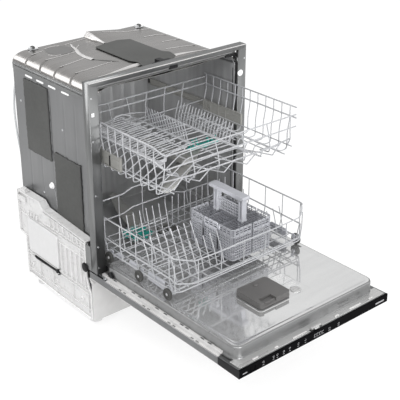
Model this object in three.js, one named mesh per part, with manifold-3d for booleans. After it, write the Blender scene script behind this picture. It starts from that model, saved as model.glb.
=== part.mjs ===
// Built-in dishwasher, 60 cm wide, with its door lowered and both baskets drawn out over it.
// Millimetres, +Z up. The front looks along -Y, the floor is Z = 0, and X = 0 is the middle.
// Lengths along Y in this file count from the face of the front frame; place() moves every piece
// back by frontY, which puts the origin under the middle of the open machine.
import * as THREE from 'three';
import { mergeVertices } from 'three/addons/utils/BufferGeometryUtils.js';
import Module from 'manifold-3d';

// ---------------------------------------------------------------- driving dimensions
const halfWidth = 299;             // base and front frame
const height = 815;
const doorReach = 634;             // free edge of the lowered door, in front of the frame
const rearReach = 492;             // outlet box at the back of the base
const frontY = (doorReach - rearReach) / 2;
const gap = 0.3;                   // clearance between neighbouring pieces
const sheet = 1.5;                 // pressed steel, drawn thicker than the real 0.5

const tubHalf = 266, tubTop = 787, tubBack = 464, tubBottom = 150, shoulder = 27;
const frameFoot = 207, frameLip = 15, openingHalf = 284, openingTop = 800, frameReturn = 30;

const hingeY = -27, hingeZ = 205;
const panHalf = 297.5, panBottom = 174.6, panTop = 201.3, panHeel = 44, panelDepth = 86;
const linerHalf = 277, linerTop = 240, linerEnd = 597, linerHeel = 8, linerSkin = 2;

const lidBox = { x0: -95, x1: 25, y0: -515, y1: -393, z0: 244, z1: 258 };
const lidWall = 2.5, wellDepth = 30;

const wire = 3.2;                  // coated basket wire
const upper = { half: 246, rim: 259.6, front: -260, back: 152, floor: 532, step: 606, kink: 640,
  top: 690, frontTop: 660 };
const lower = { half: 249, rim: 260.4, front: -320, back: 102, floor: 268, top: 388, frontTop: 350 };
const wheelRadius = 18, wheelWidth = 8, wheelInner = 254.6, axleRadius = 2.5, axleZ = 259;
const axleRows = [-290, -157, -10];

const rail = { z0: 574, z1: 596, x0: 257.6, x1: 264, y0: 20, y1: 455 };
const lowerHub = { x: 0, y: 240, z: 209 };
const upperHub = { x: 0, y: -50, z: 494 };
const satelliteReach = 150, satelliteHalf = 56, armShort = 190;

const cutlery = { x0: -14, x1: 146, y0: -292, y1: -96, z0: 274, z1: 378, wall: 2.5, handleTop: 452 };
const filterAt = { x: 105, y: 150 };
const softenerAt = { x: -150, y: 250 };

// ---------------------------------------------------------------- colours
const finish = (color, roughness, metalness) =>
  new THREE.MeshStandardMaterial({ color, roughness, metalness });
const steel = finish(0x86888a, 0.35, 0.9);
const darkSteel = finish(0x6f7173, 0.4, 0.85);
const bitumen = finish(0x4f504e, 0.9, 0);
const trayWhite = finish(0xf0eeee, 0.45, 0);
const plinthGrey = finish(0xcac8c5, 0.6, 0);
const blackPlastic = finish(0x1b1c1d, 0.5, 0);
const rubber = finish(0x222222, 0.8, 0);
const liner = finish(0xd6d6d6, 0.2, 0.1);
const whiteSteel = finish(0xe9e9e9, 0.35, 0.3);
const gloss = finish(0x0a0a0b, 0.12, 0);
const coated = finish(0xc6c8cc, 0.4, 0.1);
const lilac = finish(0xc2c4cc, 0.5, 0);
const armGrey = finish(0xb5b3ab, 0.5, 0);
const teal = finish(0x1f8a7a, 0.45, 0);
const wheelGrey = finish(0x55575a, 0.6, 0);
const lidGrey = finish(0x5d5c5b, 0.5, 0);

// ---------------------------------------------------------------- solids
const wasm = await Module();
wasm.setup();

function toSolid(geometry) {
  const bare = geometry.clone();
  for (const name of ['normal', 'uv']) bare.deleteAttribute(name);
  const merged = mergeVertices(bare, 1e-4);
  return new wasm.Manifold(new wasm.Mesh({
    numProp: 3,
    vertProperties: new Float32Array(merged.attributes.position.array),
    triVerts: new Uint32Array(merged.index.array),
  }));
}

function toGeometry(solid) {
  const mesh = solid.getMesh();
  const geometry = new THREE.BufferGeometry();
  geometry.setAttribute('position', new THREE.BufferAttribute(new Float32Array(mesh.vertProperties), 3));
  geometry.setIndex(new THREE.BufferAttribute(new Uint32Array(mesh.triVerts), 1));
  const flat = geometry.toNonIndexed();
  flat.computeVertexNormals();
  return flat;
}

const join = (...pieces) => toGeometry(pieces.map(toSolid).reduce((a, b) => a.add(b)));
const cut = (piece, ...tools) => toGeometry(tools.map(toSolid).reduce((a, b) => a.subtract(b), toSolid(piece)));

// A box given by its low and high corners.
function block(x0, x1, y0, y1, z0, z1) {
  return new THREE.BoxGeometry(x1 - x0, y1 - y0, z1 - z0)
    .translate((x0 + x1) / 2, (y0 + y1) / 2, (z0 + z1) / 2);
}

const toShape = (points) => (points instanceof THREE.Shape ? points
  : new THREE.Shape(points.map(([u, v]) => new THREE.Vector2(u, v))));

function prism(points, depth, curveSegments) {
  return new THREE.ExtrudeGeometry(toShape(points), { depth, bevelEnabled: false, curveSegments });
}

// Prisms along each axis: the outline is in (y, z), (x, z) or (x, y).
function alongX(points, x0, x1, curveSegments = 6) {
  const turn = new THREE.Matrix4().makeBasis(new THREE.Vector3(0, 1, 0), new THREE.Vector3(0, 0, 1),
    new THREE.Vector3(1, 0, 0));
  return prism(points, x1 - x0, curveSegments).applyMatrix4(turn).translate(x0, 0, 0);
}

function alongY(points, y0, y1, curveSegments = 6) {
  const turn = new THREE.Matrix4().makeBasis(new THREE.Vector3(1, 0, 0), new THREE.Vector3(0, 0, 1),
    new THREE.Vector3(0, -1, 0));
  return prism(points, y1 - y0, curveSegments).applyMatrix4(turn).translate(0, y1, 0);
}

function alongZ(points, z0, z1, curveSegments = 6) {
  return prism(points, z1 - z0, curveSegments).translate(0, 0, z0);
}

// A round bar from one point to another.
function bar(from, to, radius, sides = 8) {
  const a = new THREE.Vector3(...from), b = new THREE.Vector3(...to);
  const geometry = new THREE.CylinderGeometry(radius, radius, a.distanceTo(b), sides);
  const turn = new THREE.Quaternion().setFromUnitVectors(new THREE.Vector3(0, 1, 0),
    b.clone().sub(a).normalize());
  return geometry.applyQuaternion(turn).translate(...a.add(b).multiplyScalar(0.5).toArray());
}

const disc = (x, y, z0, z1, radius, sides = 24) => bar([x, y, z0], [x, y, z1], radius, sides);

// A body of revolution about Z from a closed (radius, z) outline.
function turned(points, x, y, sides = 24) {
  const closed = [...points, points[0]].map(([r, z]) => new THREE.Vector2(r, z));
  return new THREE.LatheGeometry(closed, sides).rotateX(Math.PI / 2).translate(x, y, 0);
}

function roundedRect(x0, x1, y0, y1, r) {
  const shape = new THREE.Shape();
  shape.absarc(x1 - r, y1 - r, r, 0, Math.PI / 2);
  shape.absarc(x0 + r, y1 - r, r, Math.PI / 2, Math.PI);
  shape.absarc(x0 + r, y0 + r, r, Math.PI, 1.5 * Math.PI);
  shape.absarc(x1 - r, y0 + r, r, 1.5 * Math.PI, 2 * Math.PI);
  return shape;
}

// A flat welded grid of square wires across the given axis: every crossing and every run of
// wire between crossings is one cell, with walls only where the next cell is open.
function grid(axis, at, us, vs) {
  const h = wire / 2, [w0, w1] = [at - h, at + h];
  const [p, q] = (axis === 'y' ? [vs, us] : [us, vs]).map((line) => line.flatMap((c) => [c - h, c + h]));
  const turn = { x: ([u, v, w]) => [w, u, v], y: ([u, v, w]) => [v, w, u], z: (c) => c }[axis];
  const filled = (i, j) => i >= 0 && j >= 0 && i < p.length - 1 && j < q.length - 1 && !(i % 2 && j % 2);
  const points = [];
  const quad = (...corners) => [0, 1, 2, 0, 2, 3].forEach((k) => points.push(...turn(corners[k])));
  for (let i = 0; i < p.length - 1; i++) {
    for (let j = 0; j < q.length - 1; j++) {
      if (!filled(i, j)) continue;
      const [u0, u1, v0, v1] = [p[i], p[i + 1], q[j], q[j + 1]];
      quad([u0, v0, w1], [u1, v0, w1], [u1, v1, w1], [u0, v1, w1]);
      quad([u0, v1, w0], [u1, v1, w0], [u1, v0, w0], [u0, v0, w0]);
      if (!filled(i - 1, j)) quad([u0, v1, w0], [u0, v0, w0], [u0, v0, w1], [u0, v1, w1]);
      if (!filled(i + 1, j)) quad([u1, v0, w0], [u1, v1, w0], [u1, v1, w1], [u1, v0, w1]);
      if (!filled(i, j - 1)) quad([u0, v0, w0], [u1, v0, w0], [u1, v0, w1], [u0, v0, w1]);
      if (!filled(i, j + 1)) quad([u1, v1, w0], [u0, v1, w0], [u0, v1, w1], [u1, v1, w1]);
    }
  }
  const geometry = new THREE.BufferGeometry();
  geometry.setAttribute('position', new THREE.BufferAttribute(new Float32Array(points), 3));
  geometry.computeVertexNormals();
  return geometry;
}

const spread = (from, to, count) =>
  Array.from({ length: count }, (_, i) => from + (to - from) * i / (count - 1));

// The same piece on the other side of the machine, with its faces turned back outwards.
function mirrored(geometry) {
  const flat = (geometry.index ? geometry.toNonIndexed() : geometry.clone()).scale(-1, 1, 1);
  const p = flat.attributes.position.array;
  for (let i = 0; i < p.length; i += 9) {
    for (let k = 0; k < 3; k++) [p[i + 3 + k], p[i + 6 + k]] = [p[i + 6 + k], p[i + 3 + k]];
  }
  flat.computeVertexNormals();
  return flat;
}

// ---------------------------------------------------------------- scene
const dishwasher = new THREE.Group();

function place(name, geometry, material) {
  const mesh = new THREE.Mesh(geometry, material);
  mesh.name = name;
  mesh.position.y = frontY;
  dishwasher.add(mesh);
}

function placePair(name, geometry, material) {
  place(`${name}_left`, mirrored(geometry), material);
  place(`${name}_right`, geometry, material);
}

// ---------------------------------------------------------------- tub
// Arch over the tub: two rounded shoulders and a flat top, as a strip of the given thickness.
function archStrip(inner, outer) {
  const corner = tubHalf - shoulder, spring = tubTop - shoulder;
  const shape = new THREE.Shape();
  shape.moveTo(tubHalf + outer, spring);
  shape.absarc(corner, spring, shoulder + outer, 0, Math.PI / 2);
  shape.absarc(-corner, spring, shoulder + outer, Math.PI / 2, Math.PI);
  shape.lineTo(-tubHalf + inner, spring);
  shape.absarc(-corner, spring, shoulder - inner, Math.PI, Math.PI / 2, true);
  shape.absarc(corner, spring, shoulder - inner, Math.PI / 2, 0, true);
  return shape;
}

const ribRows = spread(80, 400, 5);
const crown = alongZ([[-110, 62], [120, 62], [158, 150], [150, 390], [-60, 392], [-128, 250]],
  tubTop - 0.5, tubTop + 3);
place('tub_top', join(alongY(archStrip(sheet, 0), 14, tubBack),
  ...ribRows.map((y) => alongY(archStrip(0.5, 1.6), y - 4, y + 4)), crown), steel);

// Side wall, pressed with shallow upright grooves, cut back below where the door heel swings.
function sideWall() {
  const inner = tubHalf - sheet, outer = tubHalf, depth = 1.2;
  const face = [[outer, 14]], back = [[inner, 14]];
  for (const y of [70, 150, 235, 320, 405]) {
    face.push([outer, y - 9], [outer - depth, y - 5], [outer - depth, y + 5], [outer, y + 9]);
    back.push([inner, y - 9], [inner - depth, y - 5], [inner - depth, y + 5], [inner, y + 9]);
  }
  const plan = [...face, [outer, tubBack], [inner, tubBack], ...back.reverse()];
  return cut(alongZ(plan, tubBottom, tubTop - shoulder - gap),
    block(tubHalf - 10, tubHalf + 5, 0, 56, 100, 215));
}
placePair('tub_wall', sideWall(), steel);

const backPlate = new THREE.Shape();
backPlate.moveTo(tubHalf, tubBottom);
backPlate.absarc(tubHalf - shoulder, tubTop - shoulder, shoulder, 0, Math.PI / 2);
backPlate.absarc(shoulder - tubHalf, tubTop - shoulder, shoulder, Math.PI / 2, Math.PI);
backPlate.lineTo(-tubHalf, tubBottom);
const hoseClips = [[-252, 700], [-252, 408]];
place('tub_back', join(alongY(backPlate, tubBack + gap, tubBack + gap + sheet),
  alongY(roundedRect(-205, 205, 215, 715, 40), tubBack + 1, tubBack + 4.5, 4),
  ...hoseClips.map(([x, z]) => block(x - 8, x + 8, tubBack + 1, tubBack + 9, z - 6, z + 6))), steel);

// Tub floor: a front sill, a well that falls to the sump, and a ledge for the wheels on each side.
const ledgeTop = linerTop, ledgeInner = 244;
const wellLine = [[17, 210], [60, 210], [84, 166], [tubBack - 2, 158]];
const wellSheet = [...wellLine, ...wellLine.map(([y, z]) => [y, z - 2]).reverse()];
const cheekPlan = [[17, 208], [17, ledgeTop], [tubBack - 2, ledgeTop], [tubBack - 2, 156], [84, 164], [60, 208]];
const ledge = (side) => block(...[side * ledgeInner, side * (tubHalf - 2.2 - sheet)].sort((a, b) => a - b),
  17, tubBack - 2, ledgeTop - 2, ledgeTop);
place('tub_floor', cut(join(alongX(wellSheet, -ledgeInner - 1, ledgeInner + 1),
  alongX(cheekPlan, -ledgeInner - 2, -ledgeInner), alongX(cheekPlan, ledgeInner, ledgeInner + 2),
  ledge(-1), ledge(1)),
disc(filterAt.x, filterAt.y, 140, 180, 47), disc(softenerAt.x, softenerAt.y, 140, 180, 29),
disc(lowerHub.x, lowerHub.y, 140, 180, 17)), steel);

// ---------------------------------------------------------------- front frame and its seal
// An arch-shaped ring in (x, z), open at the bottom.
function doorway(outerX, outerZ, innerX, innerZ, foot) {
  return [[outerX, foot], [outerX, outerZ], [-outerX, outerZ], [-outerX, foot], [-innerX, foot],
    [-innerX, innerZ], [innerX, innerZ], [innerX, foot]];
}
place('front_frame', cut(join(
  alongY(doorway(halfWidth, height, halfWidth - sheet, height - sheet, frameFoot), 0, frameReturn),
  alongY(doorway(halfWidth, height, openingHalf - sheet, openingTop - sheet, frameFoot), 0, sheet),
  alongY(doorway(openingHalf, openingTop, openingHalf - sheet, openingTop - sheet, frameFoot), 0, frameLip),
  alongY(doorway(openingHalf, openingTop, tubHalf + gap, tubTop + gap, frameFoot), frameLip, frameLip + sheet)),
block(-36, 36, -1, 40, openingTop - 2.5, height + 1)), darkSteel);
place('door_gasket', alongY(doorway(tubHalf + 9, tubTop + 8, tubHalf + 1, tubTop + 1, 216), 8.5, frameLip - gap), rubber);
place('door_catch', join(block(-30, 30, 18, 58, tubTop + 4, tubTop + 19),
  block(-12, 12, 4, 24, tubTop + 14.2, tubTop + 26), block(-12, 12, 3, 8, tubTop + 2, tubTop + 26)), blackPlastic);

// ---------------------------------------------------------------- sound-damping pads
const padSkin = 3;
function sidePad(y0, y1, z0, z1) {
  return block(tubHalf + gap, tubHalf + gap + padSkin, y0, y1, z0, z1);
}
place('pad_left_rear', mirrored(sidePad(268, 404, 484, 722)), bitumen);
place('pad_left_front', mirrored(sidePad(108, 250, 285, 522)), bitumen);
place('pad_top', alongZ([[-47, 84], [66, 67], [141, 152], [113, 363], [-18, 370]],
  tubTop + 3 + gap, tubTop + 6), bitumen);

// ---------------------------------------------------------------- base
const trayWall = 3, trayFloor = 38, trayBack = 414, traySideTop = 297, trayBoxTop = 335;
const traySide = [[44, trayFloor], [trayBack, trayFloor], [trayBack, 176], [450, 184], [450, trayBoxTop],
  [302, trayBoxTop], [288, traySideTop], [58, traySideTop], [58, 150], [44, 118]];
const trayHalves = [-1, 1].flatMap((side) => {
  const span = (a, b) => [side * a, side * b].sort((p, q) => p - q);
  return [
    alongX(traySide, ...span(halfWidth - trayWall, halfWidth)),
    block(...span(tubHalf + 3.6, halfWidth), 58, 300, traySideTop - 3, traySideTop),
    block(...span(tubHalf + 3.6, halfWidth), 302, 450, trayBoxTop - 3, trayBoxTop),
    block(...span(tubHalf + 3.6, halfWidth), 447, 450, 184, trayBoxTop),
    block(...span(tubHalf - 10, halfWidth - 1), 110, 135, trayFloor + 1, tubBottom - gap),
    block(...span(tubHalf - 10, halfWidth - 1), 393, 413, trayFloor + 1, tubBottom - gap),
  ];
});
const footAt = { x: 262, front: 74, rear: 380 };
const footHoles = [footAt.front, footAt.rear].flatMap((y) =>
  [-footAt.x, footAt.x].map((x) => disc(x, y, 20, 60, 9, 12)));
place('base_tray', cut(join(block(-halfWidth, halfWidth, 48, trayBack, trayFloor, trayFloor + 4),
  block(-halfWidth + 1, halfWidth - 1, trayBack - 3, trayBack, trayFloor + 1, tubBottom - 5),
  block(-halfWidth + 1, halfWidth - 1, 48, 51, trayFloor + 1, 112), ...trayHalves,
  block(-120, 120, trayBack - 2, rearReach, 60, 140)),
block(-112, 112, trayBack + 8, rearReach + 1, 68, 132), ...footHoles), trayWhite);

// The plinth stands under the door and hollows back above the path of the door's heel.
const heelSweep = Math.hypot(panHeel - hingeY, hingeZ - panBottom) + 6;
const plinthFront = 38, plinthSkin = 3, plinthFoot = 19;
const hollow = spread(-75, -22, 6).map((degrees) => {
  const a = THREE.MathUtils.degToRad(degrees);
  return [hingeY + heelSweep * Math.cos(a), hingeZ + heelSweep * Math.sin(a)];
}).filter(([y]) => y > plinthFront);
const plinthFace = [[plinthFront, plinthFoot], [plinthFront, hollow[0][1] - 6], ...hollow];
const plinthRear = plinthFace.map(([y, z], i) =>
  (i < 2 ? [y + plinthSkin, z] : [y + 2, z - plinthSkin])).reverse();
place('plinth_panel', alongX([...plinthFace, ...plinthRear], -panHalf + 3, panHalf - 3), plinthGrey);

// Levelling feet: a broad pad and a stem that stands in a hole of the tray.
for (const [row, y] of [['front', footAt.front], ['rear', footAt.rear]]) {
  for (const [side, x] of [['left', -footAt.x], ['right', footAt.x]]) {
    place(`foot_${row}_${side}`, join(disc(x, y, 0, 9, 20, 16), disc(x, y, 5, 37, 12, 12),
      disc(x, y, 30, 66, 8, 12)), blackPlastic);
  }
}

place('circulation_pump', join(bar([-10, 250, 95], [140, 250, 95], 40, 20),
  bar([-34, 250, 95], [0, 250, 95], 50, 20), disc(lowerHub.x, lowerHub.y, 100, 200, 14, 16),
  block(20, 100, 225, 275, trayFloor + 4 + gap, 70)), darkSteel);
place('drain_pump', join(bar([175, 120, 80], [235, 120, 80], 26, 16), block(185, 225, 100, 140, trayFloor + 4 + gap, 70)), blackPlastic);
place('sump', turned([[0, 66], [52, 66], [56, 78], [56, 156], [49, 156], [49, 82], [0, 76]],
  filterAt.x, filterAt.y), blackPlastic);
place('softener', join(block(-225, -85, 190, 320, trayFloor + 4 + gap, 138),
  disc(softenerAt.x, softenerAt.y, 130, 168, 26)), trayWhite);

// Hose loop behind the tub, held in a clip at each end.
const hosePath = new THREE.CatmullRomCurve3([[-252, 477.4, 696], [-258, 482, 660], [-262, 486, 600],
  [-260, 485, 520], [-255, 480, 450], [-252, 477.4, 412]].map((p) => new THREE.Vector3(...p)));
const hoseSection = new THREE.Shape().absarc(0, 0, 3.6, 0, 2 * Math.PI);
place('rear_hose', new THREE.ExtrudeGeometry(hoseSection, { extrudePath: hosePath, steps: 28, curveSegments: 4 }), plinthGrey);

// Spout on the back wall that the upper basket's water pipe docks against.
place('upper_feed_spout', join(bar([0, upper.back + 292, 524.4], [0, tubBack - gap, 524.4], 6, 16),
  bar([0, tubBack - 6, 524.4], [0, tubBack - gap, 524.4], 24, 20)), armGrey);

// Fixed runners for the upper basket: a channel open towards the middle.
placePair('rail', alongY([[rail.x1, rail.z0], [rail.x1, rail.z1], [rail.x0, rail.z1], [rail.x0, rail.z1 - 1.5],
  [rail.x1 - 1.5, rail.z1 - 1.5], [rail.x1 - 1.5, rail.z0 + 1.5], [rail.x0, rail.z0 + 1.5], [rail.x0, rail.z0]]
  .map(([x, z]) => [x - 1.6, z]), rail.y0, rail.y1), steel);

// Hinge plates stand in the frame's hollow legs and reach forward to the door's pivots.
const hingePlate = [[hingeY - 9, hingeZ - 9], [8, hingeZ - 12], [26, 214], [26, 330], [4, 330],
  [4, frameFoot - 0.5], [hingeY - 9, frameFoot - 1]];
placePair('hinge_plate', join(alongX(hingePlate, 288, 291),
  bar([288.5, hingeY, hingeZ - 4], [295, hingeY, hingeZ - 4], 4, 12)), steel);

// ---------------------------------------------------------------- sump pieces and lower arm
place('filter_cylinder', join(turned([[30, 84], [36, 84], [36, 166], [42, 166], [42, 170], [30, 170]],
  filterAt.x, filterAt.y), block(filterAt.x - 33, filterAt.x + 33, filterAt.y - 3, filterAt.y + 3, 150, 182)), armGrey);
place('salt_cap', join(disc(softenerAt.x, softenerAt.y, 168.4, 180, 34),
  block(softenerAt.x - 28, softenerAt.x + 28, softenerAt.y - 4, softenerAt.y + 4, 178, 188)), lilac);

// A spray arm seen from above: broad at the hub, tapering to both ends and bent like an S.
function armPlan(long, short, wide, narrow, bend) {
  const shape = new THREE.Shape();
  shape.moveTo(-short, bend - narrow);
  shape.quadraticCurveTo(-short * 0.5, bend - narrow * 0.6, 0, -wide);
  shape.quadraticCurveTo(long * 0.5, -bend - narrow, long, -bend - narrow);
  shape.absarc(long, -bend, narrow, -Math.PI / 2, Math.PI / 2);
  shape.quadraticCurveTo(long * 0.5, -bend + narrow * 0.6, 0, wide);
  shape.quadraticCurveTo(-short * 0.5, bend + narrow, -short, bend + narrow);
  shape.absarc(-short, bend, narrow, Math.PI / 2, 1.5 * Math.PI);
  return shape;
}

// Main arm with a stub that carries the small satellite arm near one end.
function sprayArm(hub, turn, hubRadius) {
  const plan = armPlan(satelliteReach, armShort, 26, 15, 10);
  return join(alongZ(plan, hub.z + 3, hub.z + 13, 5), disc(0, 0, hub.z, hub.z + 17, hubRadius),
    disc(satelliteReach, -10, hub.z + 10, hub.z + 15.5, 6, 12)).rotateZ(turn).translate(hub.x, hub.y, 0);
}

function satellite(hub, turn, spin) {
  const centre = new THREE.Vector3(satelliteReach, -10, 0).applyAxisAngle(new THREE.Vector3(0, 0, 1), turn);
  const plan = armPlan(satelliteHalf, satelliteHalf, 15, 9, 5);
  return join(alongZ(plan, hub.z + 16, hub.z + 22, 4), disc(0, 0, hub.z + 16, hub.z + 24, 17, 20))
    .rotateZ(spin).translate(hub.x + centre.x, hub.y + centre.y, 0);
}
const lowerTurn = THREE.MathUtils.degToRad(-113), upperTurn = THREE.MathUtils.degToRad(30);
const satelliteSpin = THREE.MathUtils.degToRad(-8);
place('lower_spray_arm', cut(join(sprayArm(lowerHub, lowerTurn, 24),
  disc(lowerHub.x, lowerHub.y, 186, lowerHub.z + 2, 20)), disc(lowerHub.x, lowerHub.y, 180, 206, 14.4, 16)), armGrey);
place('lower_satellite', satellite(lowerHub, lowerTurn, satelliteSpin), teal);

// ---------------------------------------------------------------- door
const innerX = panHalf - sheet;
place('door_outer_panel', cut(block(-panHalf, panHalf, panelDepth - doorReach, panHeel, panBottom, panTop),
  block(-innerX, innerX, panelDepth - doorReach + sheet, panHeel - sheet, panBottom + 1.2, panTop + 1)), whiteSteel);

// Control module along the free edge; its end face is the glossy strip that the keys sit in.
const keyAt = { x: -250, half: 9, z0: 181, z1: 195 };
const keyPocket = block(keyAt.x - keyAt.half - gap, keyAt.x + keyAt.half + gap, -doorReach - 1,
  -doorReach + 9, keyAt.z0 - gap, keyAt.z1 + gap);
const latchSlot = block(-22, 22, -doorReach + 3, -doorReach + 14, panTop - 10, panTop + 1);
place('control_panel', cut(block(-panHalf, panHalf, -doorReach, panelDepth - doorReach - gap, panBottom, panTop),
  block(-innerX + 2, innerX - 2, -doorReach + 24, panelDepth - doorReach + 1, panBottom + 3, panTop - 3),
  keyPocket, latchSlot), gloss);
place('power_key', block(keyAt.x - keyAt.half, keyAt.x + keyAt.half, -doorReach + 0.4, -doorReach + 7,
  keyAt.z0, keyAt.z1), gloss);

// Inner liner: a rounded tray turned upside down, with a window for the dispenser.
const linerPlan = roundedRect(-linerHalf, linerHalf, -linerEnd, -linerHeel, 26);
const linerCore = roundedRect(-linerHalf + linerSkin, linerHalf - linerSkin, -linerEnd + linerSkin,
  -linerHeel - linerSkin, 24);
const windowBox = { x0: -101, x1: 100, y0: -521, y1: -387 };
place('door_inner_liner', cut(alongZ(linerPlan, panTop + gap, linerTop, 5),
  alongZ(linerCore, panTop, linerTop - linerSkin, 5),
  block(windowBox.x0, windowBox.x1, windowBox.y0, windowBox.y1, linerTop - 5, linerTop + 1)), liner);

// Dispenser: housing with a detergent well and a rinse-aid mouth, its sliding lid and its cap.
const well = { x0: -82, x1: 8, y0: -503, y1: -405 };
const rinseAt = { x: 62, y: -490, r: 17 };
place('dispenser_housing', cut(join(block(windowBox.x0 + gap, windowBox.x1 - gap, windowBox.y0 + gap,
  windowBox.y1 - gap, linerTop - 6, linerTop + 1.5),
block(well.x0 - 4, well.x1 + 4, well.y0 - 4, well.y1 + 4, linerTop - wellDepth - 2, linerTop)),
block(well.x0, well.x1, well.y0, well.y1, linerTop - wellDepth, linerTop + 3),
disc(rinseAt.x, rinseAt.y, linerTop - 2.4, linerTop + 3, rinseAt.r + gap, 28)), armGrey);
const cavity = block(lidBox.x0 + lidWall, lidBox.x1 - lidWall, lidBox.y0 + lidWall, lidBox.y1 - lidWall,
  linerTop, lidBox.z1 - lidWall);
place('dispenser_lid', cut(join(alongZ(roundedRect(lidBox.x0, lidBox.x1, lidBox.y0, lidBox.y1, 8),
  linerTop + 1.5 + gap, lidBox.z1, 3), block(-40, -26, lidBox.y1 - 30, lidBox.y1 - 18, lidBox.z1 - 1, lidBox.z1 + 1.5)),
cavity), lidGrey);
place('rinse_cap', disc(rinseAt.x, rinseAt.y, linerTop - 2, linerTop + 1.4, rinseAt.r, 28), lidGrey);

// ---------------------------------------------------------------- upper basket
// Side of a basket: upright wires bent along a path in (x, z), and long wires at some heights.
function wireSide(path, long, ys) {
  const h = wire / 2;
  const outline = [...path.map(([x, z]) => [x - h, z]), ...path.map(([x, z]) => [x + h, z]).reverse()];
  return join(...ys.map((y) => alongY(outline, y - h, y + h)),
    ...long.map(([x, z]) => block(x - h, x + h, ys[0] - 12, ys.at(-1) + 12, z - h, z + h)));
}
placePair('upper_side', wireSide(
  [[upper.rim, upper.top], [upper.rim, upper.kink], [upper.half, upper.step], [upper.half, upper.floor]],
  [[upper.rim, upper.top], [upper.rim, 655], [upper.half, upper.step], [upper.half, upper.floor]],
  spread(upper.front + 16, upper.back - 16, 6)), coated);
const tineX = 24, tineZ = 574; // wire of the folding row, held up on two posts
const post = (y) => block(tineX - wire / 2, tineX + wire / 2, y - wire / 2, y + wire / 2,
  upper.floor, tineZ - wire * Math.SQRT1_2 - gap);
place('upper_floor', join(grid('z', upper.floor, spread(-240, 240, 7),
  spread(upper.front + 6, upper.back - 6, 6)), post(-14), post(upper.back - 6)), coated);
place('upper_front', grid('y', upper.front, spread(-246, 246, 7),
  [upper.floor, 573, 622, upper.frontTop]), coated);
place('upper_back', grid('y', upper.back, spread(-246, 246, 7),
  [upper.floor, 622, upper.top]), coated);

// Height adjusters: a plate on each side with a runner that stays in the rail.
placePair('height_adjuster', join(block(248.2, 254.4, -78, 148, 560, 604),
  block(253, 259.4, 50, 146, rail.z0 + 2.4, rail.z1 - 2.4), block(254, 255.6, -70, -30, 566, 598)), armGrey);

place('upper_water_pipe', join(block(-20, 20, upperHub.y - 20, upper.back - 10, 519, upper.floor - wire / 2 - gap),
  disc(upperHub.x, upperHub.y, upperHub.z + 17.5, 520, 12, 16),
  bar([0, upper.back - 12, 524.4], [0, upper.back - 2.2, 524.4], 5.2, 12)), armGrey);
place('upper_spray_arm', sprayArm(upperHub, upperTurn, 22), armGrey);
place('upper_satellite', satellite({ ...upperHub, z: upperHub.z - 0.4 }, upperTurn, satelliteSpin), teal);

// A row of tines on a wire that turns in the basket floor. The wire runs along x or along y.
function tineRow(axis, at, z, [from, to], count, tall, lean) {
  const h = wire / 2;
  const rod = axis === 'x' ? block(from - 8, to + 8, at - h, at + h, z - h, z + h)
    : block(at - h, at + h, from - 8, to + 8, z - h, z + h);
  const slant = [[at - h, z], [at + h, z], [at + lean + h, z + tall], [at + lean - h, z + tall]];
  const extrude = axis === 'x' ? alongX : alongY;
  return join(rod, ...spread(from, to, count).map((u) => extrude(slant, u - h, u + h)));
}
place('upper_tines', tineRow('y', tineX, tineZ, [-42, 140], 14, 62, -16), coated);
place('cup_shelf', grid('z', 618, spread(-236, -146, 3), spread(-190, 110, 5)), coated);

// ---------------------------------------------------------------- lower basket
const sideAt = lower.half + wire + gap;
const axleTabs = axleRows.map((y) => block(sideAt - wire / 2, sideAt + wire / 2, y - 9, y + 9, axleZ - 8, lower.floor + 1));
placePair('lower_side', cut(join(wireSide(
  [[lower.rim, lower.top], [lower.rim, 302], [sideAt, 286], [sideAt, lower.floor]],
  [[lower.rim, lower.top], [lower.rim, 319], [sideAt, 286], [sideAt, lower.floor]],
  spread(lower.front + 16, lower.back - 16, 6)), ...axleTabs),
...axleRows.map((y) => bar([sideAt - 5, y, axleZ], [sideAt + 5, y, axleZ], axleRadius + 0.5, 8))), coated);
place('lower_floor', grid('z', lower.floor, spread(-240, 240, 7),
  spread(lower.front + 10, lower.back - 12, 6)), coated);
place('lower_front', grid('y', lower.front, spread(-lower.half, lower.half, 7),
  [lower.floor, 303, lower.frontTop]), coated);
place('lower_back', grid('y', lower.back, spread(-lower.half, lower.half, 7),
  [lower.floor, 319, lower.top]), coated);
place('lower_tines', tineRow('x', -20, lower.floor + 6, [-207, -33], 8, 96, 22), coated);

// Wheels in pairs, each pair on a wire axle across the basket.
axleRows.forEach((y, i) => {
  const wheel = (side) => bar([side * wheelInner, y, axleZ], [side * (wheelInner + wheelWidth), y, axleZ], wheelRadius, 24);
  place(`wheelset_${['front', 'middle', 'rear'][i]}`,
    join(bar([-wheelInner - 2, y, axleZ], [wheelInner + 2, y, axleZ], axleRadius, 10), wheel(-1), wheel(1)), wheelGrey);
});

// Cutlery basket with six compartments and a tall handle.
const { x0, x1, y0, y1, z0, z1, wall, handleTop } = cutlery;
const columns = [x0 + wall, (x0 + x1) / 2 - wall / 2, (x0 + x1) / 2 + wall / 2, x1 - wall];
const pockets = [0, 1].flatMap((i) => [0, 1, 2].map((j) => {
  const pitch = (y1 - y0 - wall) / 3;
  return block(columns[2 * i], columns[2 * i + 1], y0 + wall + j * pitch, y0 + (j + 1) * pitch, z0 + wall, z1 + 1);
}));
const middle = (x0 + x1) / 2;
place('cutlery_basket', join(cut(block(x0, x1, y0, y1, z0, z1), ...pockets),
  cut(block(middle - 4, middle + 4, y0 + 6, y1 - 6, z1 - 20, handleTop),
    block(middle - 5, middle + 5, y0 + 16, y1 - 16, z1 - 21, handleTop - 22))), lilac);

export default dishwasher;
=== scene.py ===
"""Looks for the built-in dishwasher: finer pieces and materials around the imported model.
Lengths in the piece code are millimetres, with y = 0 on the face of the front frame."""

import math
import random

import bmesh
import bpy
from mathutils import Matrix, Vector, noise


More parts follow.
